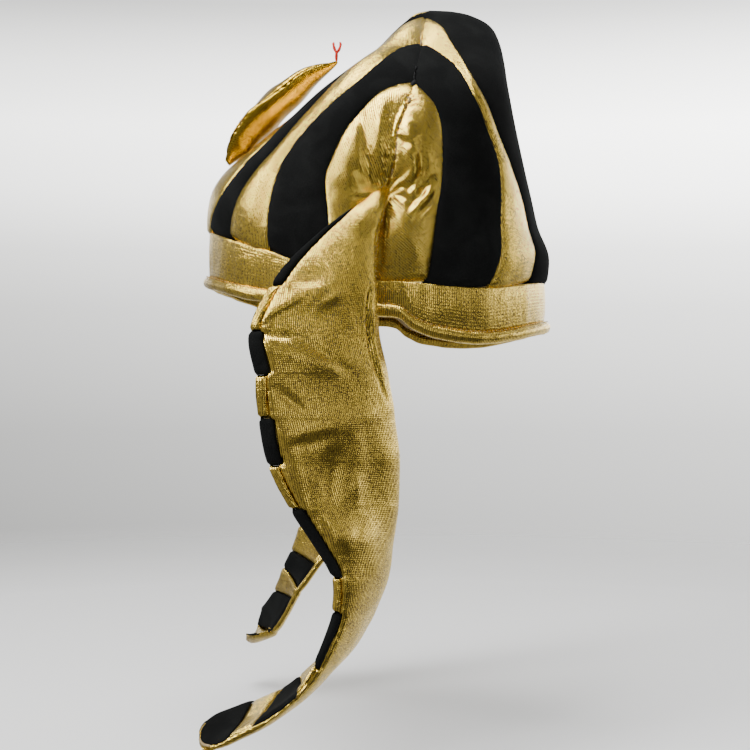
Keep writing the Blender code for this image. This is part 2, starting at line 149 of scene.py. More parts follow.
class ShaderGraph:
    """The node tree of one material or world."""

    def __init__(self, owner: bpy.types.Material | bpy.types.World) -> None:
        """Starts an empty tree.

        Args:
            owner: The material or world that gets it.
        """
        owner.use_nodes = True
        self.tree = owner.node_tree
        self.tree.nodes.clear()

    def node(
        self, kind: str, settings: dict[str, object], inputs: dict[str | int, object]
    ) -> bpy.types.Node:
        """Adds one node.

        Args:
            kind: The node's type.
            settings: Its own settings. `stops` holds the places and colours of a ramp.
            inputs: Values, signals or sockets for its inputs, by name or number.

        Returns:
            The node.
        """
        made = self.tree.nodes.new(kind)
        for key, value in settings.items():
            if key == "stops":
                self._set_stops(made.color_ramp, value)
            else:
                setattr(made, key, value)
        for key, value in inputs.items():
            if isinstance(value, Signal):
                self.tree.links.new(value.socket, made.inputs[key])
            elif isinstance(value, bpy.types.NodeSocket):
                self.tree.links.new(value, made.inputs[key])
            else:
                made.inputs[key].default_value = value
        return made

    @staticmethod
    def _set_stops(ramp: bpy.types.ColorRamp, stops: Sequence[tuple[float, Colour]]) -> None:
        """Fills a colour ramp.

        Args:
            ramp: The ramp.
            stops: Places from 0 to 1, each with its colour.
        """
        while len(ramp.elements) < len(stops):
            ramp.elements.new(1.0)
        for element, (place, colour) in zip(ramp.elements, stops):
            element.position = place
            element.color = (*colour, 1.0)

    def number(self, node: bpy.types.Node, output: str | int = 0) -> Signal:
        """An output of a node as a signal."""
        return Signal(self, node.outputs[output])

    def mix(self, share: Signal, first: Colour, second: Colour) -> bpy.types.NodeSocket:
        """Two colours mixed, by the share of the second."""
        inputs = {0: share, 6: (*first, 1.0), 7: (*second, 1.0)}
        return self.node("ShaderNodeMix", {"data_type": "RGBA"}, inputs).outputs[2]

    def noise(self, size: float, detail: float = 2.0, distortion: float = 0.0) -> Signal:
        """Noise in the object's own space.

        Args:
            size: Width of its largest patches, in metres.
            detail: Octaves of finer noise in it.
            distortion: How far it is twisted.

        Returns:
            A signal from about 0 to 1.
        """
        place = self.node("ShaderNodeTexCoord", {}, {}).outputs["Object"]
        inputs = {"Vector": place, "Scale": 1.0 / size, "Detail": detail, "Distortion": distortion}
        return self.number(self.node("ShaderNodeTexNoise", {}, inputs), "Fac")

    def cloth_axes(self) -> tuple[Signal, Signal]:
        """The cloth's own axes, from its UV map.

        Returns:
            Metres across and along the cloth.
        """
        grain = self.node("ShaderNodeUVMap", {"uv_map": CLOTH_MAP}, {})
        parts = self.node("ShaderNodeSeparateXYZ", {}, {0: grain.outputs[0]})
        return self.number(parts, 0), self.number(parts, 1)

    def bump(self, height: Signal, strength: float, depth: float) -> bpy.types.NodeSocket:
        """The normal of a Bump node, whose relief is as deep as depth where the height is 1."""
        inputs = {"Strength": strength, "Distance": depth, "Height": height}
        return self.node("ShaderNodeBump", {}, inputs).outputs["Normal"]

    def principled(self, inputs: dict[str | int, object]) -> bpy.types.NodeSocket:
        """The shader of a Principled node with these inputs."""
        return self.node("ShaderNodeBsdfPrincipled", {}, inputs).outputs[0]


# Finishes


def made_once(name: str, dress: Callable[[ShaderGraph], bpy.types.NodeSocket]) -> bpy.types.Material:
    """Makes a material, or finds it if it is made already.

    Args:
        name: The material's name.
        dress: Fills the graph and gives the shader's socket.

    Returns:
        The material.
    """
    found = bpy.data.materials.get(name)
    if found:
        return found
    material = bpy.data.materials.new(name)
    graph = ShaderGraph(material)
    graph.node("ShaderNodeOutputMaterial", {}, {"Surface": dress(graph)})
    return material


@dataclass(frozen=True)
class Finish(ABC):
    """A finish of a cloth, yarn or thread."""

    name: str

    def material(self) -> bpy.types.Material:
        """The material, made once."""
        return made_once(self.name, self.dress)

    @abstractmethod
    def dress(self, graph: ShaderGraph) -> bpy.types.NodeSocket:
        """Fills the graph and gives the shader's socket."""


@dataclass(frozen=True)
class FoilKnit(Finish):
    """Gold foil pressed on a ribbed knit: fine ribs and a crackled grain. Its deep brown colour is painted
    shade in the hollows of the bump, and partly worn foil.

    `cover` is how much of the foil shows the light colour, and `dulling` how much rougher the parts with
    the deep colour are.
    """

    name: str = "gold_lame_finish"
    light: Colour = (0.98, 0.69, 0.115)
    # deep: the brown of worn foil, and also painted shade in the hollows of the bump.
    deep: Colour = (0.22, 0.140, 0.042)
    roughness: float = 0.15
    rib_pitch: float = 0.00115
    stitch_pitch: float = 0.00105
    wander: float = 0.0012
    wander_size: float = 0.012
    grain_size: float = 0.0011
    crease_size: float = 0.0065
    patch_size: float = 0.045
    cover: float = 0.60
    dulling: float = 0.14
    depth: float = 0.00034

    def dress(self, graph: ShaderGraph) -> bpy.types.NodeSocket:
        """Fills the graph.

        Args:
            graph: The graph to fill.

        Returns:
            The shader's socket.
        """
        across, along = graph.cloth_axes()
        wander = graph.noise(self.wander_size, 1.0) * self.wander
        grain = graph.noise(self.grain_size, 3.0, 0.6)
        crease = graph.noise(self.crease_size, 4.0, 0.9)
        patches = graph.noise(self.patch_size, 2.0)
        rib = ((across + wander) * (math.tau / self.rib_pitch)).sine() * 0.5 + 0.5
        stitch = (along * (math.tau / self.stitch_pitch) + rib * 1.5).sine() * 0.5 + 0.5
        # Painted shade: grain, crease and rib also raise the bump, so the colour turns to the deep brown
        # in the bump's hollows; in part it stands for worn foil too.
        bright = ((grain - 0.46) * 3.6 + (crease - 0.5) + (rib - 0.5) + self.cover).clamped()
        dull = self.dulling
        gloss = (self.roughness + dull) - bright * dull + (patches - 0.5) * dull
        height = rib * 0.46 + stitch * 0.12 + grain * 0.42 + crease * 0.9
        return graph.principled(
            {
                "Base Color": graph.mix(bright, self.deep, self.light),
                "Metallic": 1.0,
                "Roughness": gloss.clamped(),
                "Normal": graph.bump(height, 0.8, self.depth),
            }
        )


@dataclass(frozen=True)
class Velvet(Finish):
    """Black short-pile velvet, matt, with a faint sheen where the pile turns over."""

    name: str = "black_velvet_finish"
    deep: Colour = (0.0046, 0.0049, 0.0048)
    brushed: Colour = (0.0098, 0.0103, 0.0100)
    roughness: float = 0.93
    sheen: float = 0.02
    pile_size: float = 0.0007
    brush_size: float = 0.022
    depth: float = 0.0004

    def dress(self, graph: ShaderGraph) -> bpy.types.NodeSocket:
        """Fills the graph.

        Args:
            graph: The graph to fill.

        Returns:
            The shader's socket.
        """
        pile = graph.noise(self.pile_size, 2.0)
        brushed = graph.noise(self.brush_size, 3.0, 0.5)
        shade = ((brushed - 0.42) * 2.4 + (pile - 0.5) * 0.8).clamped()
        return graph.principled(
            {
                "Base Color": graph.mix(shade, self.deep, self.brushed),
                "Roughness": self.roughness,
                "Specular IOR Level": 0.03,
                "Sheen Weight": self.sheen,
                "Sheen Roughness": 0.45,
                "Sheen Tint": (0.55, 0.57, 0.60, 1.0),
                "Normal": graph.bump(pile * 0.7 + brushed * 0.5, 0.5, self.depth),
            }
        )


@dataclass(frozen=True)
class Knit(Finish):
    """The plain back of the cloth, a fine matt knit."""

    light: Colour
    deep: Colour
    roughness: float = 0.9
    pitch: float = 0.0009
    fibre_size: float = 0.0016
    depth: float = 0.0003

    def dress(self, graph: ShaderGraph) -> bpy.types.NodeSocket:
        """Fills the graph.

        Args:
            graph: The graph to fill.

        Returns:
            The shader's socket.
        """
        across, along = graph.cloth_axes()
        cell = math.tau / self.pitch
        loops = (across * cell).sine() * (along * cell).sine() * 0.5 + 0.5
        fibre = graph.noise(self.fibre_size, 3.0)
        shade = (loops * 0.5 + fibre * 0.7 - 0.1).clamped()
        return graph.principled(
            {
                "Base Color": graph.mix(shade, self.deep, self.light),
                "Roughness": self.roughness,
                "Specular IOR Level": 0.2,
                "Normal": graph.bump(loops * 0.7 + fibre * 0.5, 0.5, self.depth),
            }
        )


@dataclass(frozen=True)
class Thread(Finish):
    """Twisted gold sewing thread."""

    name: str = "gold_thread"
    light: Colour = (0.60, 0.44, 0.17)
    deep: Colour = (0.33, 0.22, 0.07)
    fibre_size: float = 0.0005
    depth: float = 0.0001

    def dress(self, graph: ShaderGraph) -> bpy.types.NodeSocket:
        """Fills the graph.

        Args:
            graph: The graph to fill.

        Returns:
            The shader's socket.
        """
        fibre = graph.noise(self.fibre_size, 2.0)
        return graph.principled(
            {
                "Base Color": graph.mix(fibre, self.deep, self.light),
                "Metallic": 0.6,
                "Roughness": 0.45,
                "Normal": graph.bump(fibre, 0.4, self.depth),
            }
        )


GOLD_THREAD = Thread()
# Both foils paint shade: their deep colour fills the hollows of the bump, partly as worn foil.
GOLD_FOIL = FoilKnit()
COBRA_FOIL = FoilKnit(
    "cobra_foil_finish", (0.62, 0.41, 0.045), (0.20, 0.11, 0.010), 0.20, depth=0.00016
)
GOLD_BACK = Knit("gold_lame_reverse", (0.42, 0.32, 0.17), (0.22, 0.15, 0.07))
BLACK_PILE = Velvet()
BLACK_BACK = Knit("black_velvet_reverse", (0.016, 0.016, 0.017), (0.006, 0.006, 0.006))
RED_YARN = Knit("red_felt_finish", (0.78, 0.045, 0.03), (0.40, 0.012, 0.010), 0.8, 0.0008)
FACES: dict[Slot, tuple[Finish, Finish]] = {
    Slot.GOLD: (GOLD_FOIL, GOLD_BACK),
    Slot.BLACK: (BLACK_PILE, BLACK_BACK),
    Slot.RED: (RED_YARN, RED_YARN),
}


# Tables and noise


class Curve:
    """A smooth curve through the rows of a table, read by column."""

    def __init__(self, rows: Sequence[NamedTuple], key: str | None = None) -> None:
        """Reads the table.

        Args:
            rows: The table's rows.
            key: The column that says where each row is. Without it, a row is at its own number.
        """
        self._rows = rows
        self._even = key is None
        self.last = len(rows) - 1
        keys = range(len(rows)) if key is None else [getattr(row, key) for row in rows]
        self._keys = np.array(keys, dtype=float)

    def __call__(self, column: str, at: Array | float) -> Array:
        """The column's value.

        Args:
            column: The column's name.
            at: Where to read it.

        Returns:
            The value at each place.
        """
        keys, last = self._keys, self.last
        values = np.array([getattr(row, column) for row in self._rows], dtype=float)
        low = np.maximum(np.arange(last + 1) - 1, 0)
        high = np.minimum(np.arange(last + 1) + 1, last)
        spans = 2.0 if self._even else keys[high] - keys[low]
        slopes = (values[high] - values[low]) / spans
        at = np.clip(np.asarray(at, dtype=float), keys[0], keys[-1])
        i = np.clip(np.searchsorted(keys, at, side="left") - 1, 0, last - 1)
        span = keys[i + 1] - keys[i]
        t = (at - keys[i]) / span
        rise = values[i + 1] - values[i]
        start, end = slopes[i] * span, slopes[i + 1] * span
        return values[i] + t * (start + t * (3 * rise - 2 * start - end + t * (start + end - 2 * rise)))


def smooth_step(value: Array, low: float, high: float) -> Array:
    """0 below low, 1 above high, and smooth between."""
    share = np.clip((value - low) / (high - low), 0.0, 1.0)
    return share * share * (3 - 2 * share)


SCATTER = np.array((127.1, 311.7, 74.7))
SCATTER_SCALE = 43758.5453


def smooth_noise(points: Array, seed: float) -> Array:
    """Seeded noise with patches about 1 wide, the same at each run.

    Args:
        points: Places, one a row.
        seed: Which noise.

    Returns:
        Values from -1 to 1.
    """
    cell = np.floor(points)
    part = points - cell
    fade = part * part * (3 - 2 * part)
    total = np.zeros(len(points))
    for corner in product((0, 1), repeat=3):
        offset = np.array(corner)
        mixed = np.sin((cell + offset) @ SCATTER + seed * 13.7) * SCATTER_SCALE
        weight = np.prod(np.where(offset, fade, 1 - fade), axis=1)
        total += weight * (mixed - np.floor(mixed))
    return 2 * total - 1


# Relief


@dataclass
class Patch:
    """A piece of cloth as it is laid, before its relief: one row or number for each vertex."""

    points: Array
    normals: Array
    across: Array
    along: Array
    left: Array
    right: Array
    low: Array
    high: Array

    def edge(self) -> Array:
        """Distance to the nearer long edge."""
        return np.minimum(self.left, self.right)


class Relief(Protocol):
    """Something that raises or sinks a piece of cloth."""

    def heights(self, patch: Patch) -> Array:
        """How far each vertex moves out."""


@dataclass(frozen=True)
class SewnEdge:
    """The cloth turns down into the seams along its long edges, and at its low or high end if sewn there.

    Where the high end isn't sewn, the seams get shallower over the last stretch, as long as `fade`.
    """

    depth: float
    reach: float
    low: bool = False
    high: bool = False
    fade: float = 0.008

    def heights(self, patch: Patch) -> Array:
        """How far each vertex moves out.

        Args:
            patch: The cloth as it is laid.

        Returns:
            Metres, one for each vertex.
        """
        near = patch.edge()
        if self.low:
            near = np.minimum(near, patch.low)
        if self.high:
            near = np.minimum(near, patch.high)
        share = 1.0 if self.high else smooth_step(patch.high, 0.0, self.fade)
        return -self.depth * np.exp(-near / self.reach) * share


@dataclass(frozen=True)
class Piping:
    """A raised ridge where seam allowances lie folded under the cloth, some way in from its left edge."""

    inset: float
    width: float
    height: float
    fade: tuple[float, float] = (0.003, 0.014)

    def heights(self, patch: Patch) -> Array:
        """How far each vertex moves out."""
        away = (patch.left - self.inset) / self.width
        return self.height * np.exp(-(away**2)) * smooth_step(patch.high, *self.fade)


@dataclass(frozen=True)
class Puckers:
    """Small gathers that the stitching leaves beside a seam."""

    spacing: float
    height: float
    reach: float
    seed: float = 0.0
    only_left: bool = False
    shift_size: float = 0.011
    strength_size: float = 0.017

    def heights(self, patch: Patch) -> Array:
        """How far each vertex moves out.

        Args:
            patch: The cloth as it is laid.

        Returns:
            Metres, one for each vertex.
        """
        near = patch.left if self.only_left else patch.edge()
        shift = smooth_noise(patch.points / self.shift_size, self.seed) * 2.4
        strength = 0.55 + 0.45 * smooth_noise(patch.points / self.strength_size, self.seed + 3)
        wave = np.sin(math.tau * patch.along / self.spacing + shift)
        return self.height * strength * wave * np.exp(-near / self.reach)


@dataclass(frozen=True)
class Crinkles:
    """Loose, rounded crinkles, longer one way if the sizes differ."""

    size: Triple
    height: float
    seed: float

    def heights(self, patch: Patch) -> Array:
        """How far each vertex moves out."""
        return self.height * smooth_noise(patch.points / np.array(self.size), self.seed)


class Fold(NamedTuple):
    """A swell, or a crease if its height is negative, between two places seen from the side, in mm."""

    start: tuple[float, float]
    end: tuple[float, float]
    width: float
    height: float


@dataclass(frozen=True)
class Folds:
    """The folds of one piece, each highest at its middle."""

    rows: tuple[Fold, ...]

    def heights(self, patch: Patch) -> Array:
        """How far each vertex moves out.

        Args:
            patch: The cloth as it is laid.

        Returns:
            Metres, one for each vertex.
        """
        flat = patch.points[:, 1:] * MM_PER_M
        total = np.zeros(len(flat))
        for fold in self.rows:
            start, end = np.array(fold.start), np.array(fold.end)
            line = end - start
            share = np.clip((flat - start) @ line / (line @ line), 0, 1)
            away = np.linalg.norm(flat - start - share[:, None] * line, axis=1)
            taper = 0.45 + 0.55 * np.sin(math.pi * np.clip(share, 0.02, 0.98))
            total += fold.height * taper * np.exp(-((away / fold.width) ** 2))
        return total / MM_PER_M


@dataclass(frozen=True)
class Pleats:
    """Pleats that spread from a place where the cloth is caught, seen from the side."""

    centre: tuple[float, float]
    count: float
    reach: float
    height: float
    hub: float = 0.006
    shift_size: float = 0.02

    def heights(self, patch: Patch) -> Array:
        """How far each vertex moves out.

        Args:
            patch: The cloth as it is laid.

        Returns:
            Metres, one for each vertex.
        """
        away = patch.points[:, 1:] - np.array(self.centre)
        turn = np.arctan2(away[:, 1], away[:, 0])
        far = np.linalg.norm(away, axis=1)
        shift = 1.5 * smooth_noise(patch.points / self.shift_size, 5.0)
        wave = np.cos(turn * self.count + shift)
        return self.height * wave * np.exp(-far / self.reach) * smooth_step(far, 0.0, self.hub)


# Laying cloth


def mesh_object(name: str, mesh: bmesh.types.BMesh, smooth: bool = True) -> bpy.types.Object:
    """Turns a finished mesh into an object in the scene, and frees the mesh.

    Args:
        name: The object's name.
        mesh: The finished mesh.
        smooth: Whether its faces are shaded smooth.

    Returns:
        The object.
    """
    for face in mesh.faces:
        face.smooth = smooth
    data = bpy.data.meshes.new(name)
    mesh.to_mesh(data)
    mesh.free()
    made = bpy.data.objects.new(name, data)
    bpy.context.scene.collection.objects.link(made)
    return made


@dataclass
class ClothPiece:
    """One piece of cloth, laid over a form from a flat grid.

    `place` gives points, and `heart` places on the inner side of them, for shares from 0 to 1 across
    and along the piece. `weld` joins vertices that lie nearer than that, as where a ring closes. `face`
    is the outer finish, where it isn't the slot's. The last three fields are measured by `build`.
    """

    name: str
    nodes: tuple[str, ...]
    slot: Slot
    place: Place
    heart: Place
    columns: int
    rows: int
    wall: float
    reliefs: Sequence[Relief] = ()
    grain: float = 0.0
    straight: bool = False
    weld: float = 0.0
    face: Finish | None = None
    width: float = field(init=False)
    length: float = field(init=False)
    area: float = field(init=False)

    def build(self) -> bpy.types.Object:
        """Makes the piece and fastens it to the frame.

        Returns:
            The finished object.
        """
        mesh = bmesh.new()
        bmesh.ops.create_grid(mesh, x_segments=self.columns, y_segments=self.rows, size=0.5)
        mesh.verts.index_update()
        shares = np.clip(np.array([vertex.co[:2] for vertex in mesh.verts]) + 0.5, 0.0, 1.0)
        points = self.place(shares[:, 0], shares[:, 1])
        measures = self._measures(shares, points)
        self.width = float((measures[2] + measures[3]).max())
        self.length = float((measures[4] + measures[5]).max())
        self._write_map(mesh, measures)
        kept = self._lay(mesh, points)
        self.area = sum(face.calc_area() for face in mesh.faces)
        outward = (points - self.heart(shares[:, 0], shares[:, 1]))[kept]
        normals = np.array([vertex.normal for vertex in mesh.verts])
        if (outward * normals).sum() < 0:
            bmesh.ops.reverse_faces(mesh, faces=mesh.faces)
            normals = -normals
        patch = Patch(points[kept], normals, *(measure[kept] for measure in measures))
        rise = sum((relief.heights(patch) for relief in self.reliefs), np.zeros(len(kept)))
        for vertex, point in zip(mesh.verts, patch.points + normals * rise[:, None]):
            vertex.co = point
        return self._finish(mesh)

    def build_sheet(self) -> bpy.types.Object:
        """Returns:
            The finished object.
        """
        piece = self.build()
        area = min(self.area, self.width * self.length)
        LOG.info("%s: %.3f x %.3f m flat, %.4f m2", self.name, self.width, self.length, area)
        return piece

    def _lay(self, mesh: bmesh.types.BMesh, points: Array) -> Array:
        """Lays the flat grid over the form and joins the vertices that meet.

        Args:
            mesh: The piece's mesh.
            points: Where each of its vertices lies.

        Returns:
            The numbers in the flat grid of the vertices that are left.
        """
        order = mesh.verts.layers.int.new("order")
        for number, (vertex, point) in enumerate(zip(mesh.verts, points)):
            vertex.co = point
            vertex[order] = number
        bmesh.ops.remove_doubles(mesh, verts=mesh.verts, dist=self.weld)
        kept = np.array([vertex[order] for vertex in mesh.verts])
        mesh.verts.layers.int.remove(order)
        mesh.normal_update()
        return kept

    def _measures(self, shares: Array, points: Array) -> tuple[Array, ...]:
        """Distances on the cloth.

        Args:
            shares: Shares across and along the piece.
            points: Where the cloth is laid.

        Returns:
            For each vertex: across from the middle, along, and from the four edges.
        """
        i = np.rint(shares[:, 0] * self.columns).astype(int)
        j = np.rint(shares[:, 1] * self.rows).astype(int)
        grid = np.empty((self.rows + 1, self.columns + 1, 3))
        grid[j, i] = points
        steps = np.linalg.norm(np.diff(grid, axis=1), axis=2)
        left = np.concatenate([np.zeros((self.rows + 1, 1)), np.cumsum(steps, axis=1)], axis=1)
        middle = self.columns // 2
        across = left - left[:, middle : middle + 1]
        if self.straight:
            across = np.repeat(left[self.rows // 2][None, :], self.rows + 1, axis=0)
        rises = np.linalg.norm(np.diff(grid, axis=0), axis=2)
        low = np.concatenate([np.zeros((1, self.columns + 1)), np.cumsum(rises, axis=0)], axis=0)
        along = np.repeat(low[:, middle : middle + 1], self.columns + 1, axis=1)
        tables = (across, along, left, left[:, -1:] - left, low, low[-1:] - low)
        return tuple(table[j, i] for table in tables)

    def _write_map(self, mesh: bmesh.types.BMesh, measures: tuple[Array, ...]) -> None:
        """Writes the cloth's UV map in metres, turned to the cut's grain.

        Args:
            mesh: The piece's mesh.
            measures: What `_measures` gives.
        """
        turn = math.radians(self.grain)
        across, along = measures[0], measures[1]
        u = across * math.cos(turn) + along * math.sin(turn)
        v = along * math.cos(turn) - across * math.sin(turn)
        layer = mesh.loops.layers.uv.new(CLOTH_MAP)
        for face in mesh.faces:
            for loop in face.loops:
                number = loop.vert.index
                loop[layer].uv = (u[number], v[number])

    def _finish(self, mesh: bmesh.types.BMesh) -> bpy.types.Object:
        """Turns the mesh into an object with its wall, materials and place in the frame.

        Args:
            mesh: The finished outer face of the cloth.

        Returns:
            The object.
        """
        piece = mesh_object(self.name, mesh)
        face, reverse = FACES[self.slot]
        for finish in (self.face or face, reverse):
            piece.data.materials.append(finish.material())
        if self.wall > 0:
            shell = piece.modifiers.new("wall", "SOLIDIFY")
            shell.thickness = self.wall
            shell.offset = -1.0
            shell.material_offset = 1
            shell.material_offset_rim = 0
        return fasten(piece, self.slot, self.nodes)


def fasten(piece: bpy.types.Object, slot: Slot, nodes: Sequence[str]) -> bpy.types.Object:
    """Ties a piece to the frame.

    Args:
        piece: The piece.
        slot: The slot that it takes its finish from; not used.
        nodes: The CAD nodes that it stands for.

    Returns:
        The same piece.
    """
    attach(piece, BODY)
    if nodes:
        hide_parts(*nodes)
    LOG.info("%s: %d vertices", piece.name, len(piece.data.vertices))
    return piece


def stacked(x: Array, y: Array, z: Array) -> Array:
    """Three arrays of numbers as rows of points."""
    return np.stack(np.broadcast_arrays(x, y, z), axis=-1)


def unit(vectors: Array) -> Array:
    """Each row at length 1."""
    return vectors / np.maximum(np.linalg.norm(vectors, axis=-1, keepdims=True), 1e-12)


# The crown's form


class Level(NamedTuple):
    """The crown's outline at a share of its height.

    Its reach forward, back and sideways, and where its side seam is, are in half depths or half widths.
    `square` is how square its corners are, from 2 for an ellipse.
    """

    height: float
    front: float
    back: float
    side: float
    seam: float
    square: float


class Edge(NamedTuple):
    """Heights of the headband's edges, in half depths, at a place from front (-1) to back (1)."""

    place: float
    top: float
    rim: float


class Arches(NamedTuple):
    """One number for each arch that edges the strips, at one even step from the band to the side seam."""

    seam: float
    panel: float
    black: float
    gold: float
    middle: float
    centre: float = 0.0


@dataclass
class CrownForm:
    """The skin that the crown's strips lie on.

    Nearer the mid-plane than `crest`, its outward directions turn into that plane. The tuck is where a
    lappet is caught into the side seam.
    """

    half_depth: float = 0.107
    half_width: float = 0.088
    top: float = 0.184
    crest: float = 0.0075
    puff: float = 0.0014
    gap: float = 0.0001
    tuck_share: float = 0.06
    tuck_height: float = 0.0606
    tuck_depth: float = 0.007
    tuck_reach: float = 0.017
    levels: tuple[Level, ...] = (
        Level(0.00, -0.972, 0.996, 1.000, 0.000, 2.1),
        Level(0.10, -0.968, 1.006, 1.023, 0.010, 2.1),
        Level(0.20, -0.930, 0.945, 1.028, 0.037, 2.1),
        Level(0.30, -0.812, 0.904, 1.028, 0.065, 2.2),
        Level(0.40, -0.650, 0.866, 1.026, 0.107, 2.3),
        Level(0.50, -0.478, 0.826, 1.000, 0.125, 2.5),
        Level(0.60, -0.316, 0.788, 0.940, 0.187, 2.8),
        Level(0.70, -0.146, 0.760, 0.810, 0.224, 3.0),
        Level(0.80, 0.010, 0.742, 0.590, 0.252, 3.0),
        Level(0.88, 0.105, 0.715, 0.400, 0.266, 2.8),
        Level(0.94, 0.180, 0.665, 0.235, 0.275, 2.6),
        Level(0.98, 0.240, 0.560, 0.115, 0.300, 2.4),
        Level(1.00, 0.305, 0.460, 0.012, 0.330, 2.2),
    )
    edges: tuple[Edge, ...] = (
        Edge(-1.00, 0.430, 0.107),
        Edge(-0.80, 0.342, 0.035),
        Edge(-0.60, 0.271, -0.014),
        Edge(-0.30, 0.165, -0.048),
        Edge(0.00, 0.097, -0.095),
        Edge(0.13, 0.088, -0.108),
        Edge(0.20, 0.083, -0.165),
        Edge(0.33, 0.075, -0.215),
        Edge(0.62, 0.068, -0.241),
        Edge(1.00, 0.122, -0.165),
    )

    def __post_init__(self) -> None:
        """Reads the tables."""
        self._level = Curve(self.levels, "height")
        self._edge = Curve(self.edges, "place")

    @property
    def tuck(self) -> tuple[float, float]:
        """The tuck's place from front to back and its height."""
        return self.tuck_share * self.half_depth, self.tuck_height

    def band_height(self, y: Array, column: str) -> Array:
        """Height of the headband's top or rim at a place from front to back."""
        return self.half_depth * self._edge(column, y / self.half_depth)

    def skin(self, angle: Array, height: Array) -> Array:
        """Points of the smooth skin.

        Args:
            angle: Degrees from the side seam, negative at the back.
            height: Share of the way from the band to the top.

        Returns:
            Points, one a row.
        """
        turn = np.radians(np.abs(angle))
        ahead = angle > 0
        side = self.half_width * self._level("side", height)
        seam = self.half_depth * self._level("seam", height)
        front, back = self._level("front", height), self._level("back", height)
        reach = self.half_depth * np.where(ahead, front, back) - seam
        square = self._level("square", height)
        across, forward = np.cos(turn), np.sin(turn)
        round_off = (np.abs(across) ** square + np.abs(forward) ** square) ** (1 / square)
        x, y = side * across / round_off, seam + reach * forward / round_off
        base = np.where(ahead, self.levels[0].front, self.levels[0].back) * self.half_depth
        foot = self.band_height(base * forward / round_off, "top")
        return stacked(x, y, foot + (self.top - foot) * height)

    def normal(self, angle: Array, height: Array) -> Array:
        """Outward directions of the skin, turned into the mid-plane close to it.

        Args:
            angle: Degrees from the side seam, negative at the back.
            height: Share of the way from the band to the top.

        Returns:
            Unit vectors, one a row.
        """
        turn, lift = 0.8, 0.008
        beside = np.minimum(self.skin(angle, height)[:, 0] / self.crest, 1.0)
        height = np.clip(height, lift, 1 - lift)
        span = self.skin(angle - turn, height) - self.skin(angle + turn, height)
        rise = self.skin(angle, height + lift) - self.skin(angle, height - lift)
        outward = np.cross(span, rise)
        outward[:, 0] *= beside
        return unit(outward)

    def tuck_dent(self, points: Array) -> Array:
        """How far the skin is drawn in at the tuck.

        Args:
            points: Places on the skin, one a row.

        Returns:
            Metres, one for each place.
        """
        centre_y, centre_z = self.tuck
        away = np.hypot(points[:, 1] - centre_y, points[:, 2] - centre_z)
        beside = np.abs(points[:, 0]) > self.half_width / 2
        return self.tuck_depth * np.exp(-((away / self.tuck_reach) ** 2)) * beside

    def seam_y(self, z: Array) -> Array:
        """Where the side seam is from front to back, at heights above the origin."""
        foot = float(self.band_height(np.zeros(1), "top")[0])
        return self.half_depth * self._level("seam", (z - foot) / (self.top - foot))

    def point(self, angle: Array, height: Array, puff: Array) -> Array:
        """Points of a strip, kept on its own side of the side seam.

        Args:
            angle: Degrees from the side seam, negative at the back.
            height: Share of the way from the band to the top.
            puff: How far the strip stands out.

        Returns:
            Points, one a row.
        """
        skin = self.skin(angle, height)
        points = skin + self.normal(angle, height) * (puff - self.tuck_dent(skin))[:, None]
        seam = self.seam_y(points[:, 2])
        ahead = np.minimum(points[:, 1], seam - self.gap)
        behind = np.maximum(points[:, 1], seam + self.gap)
        points[:, 1] = np.where(angle > 0, ahead, behind)
        return points


class Strip(NamedTuple):
    """One strip of the crown, between two arches, or from an arch to its mirror image over the middle."""

    name: str
    low: str
    high: str
    back: bool
    slot: Slot
    grain: float = 0.0

    @property
    def over(self) -> bool:
        """Whether it runs over the mid-plane."""
        return self.high == "middle"


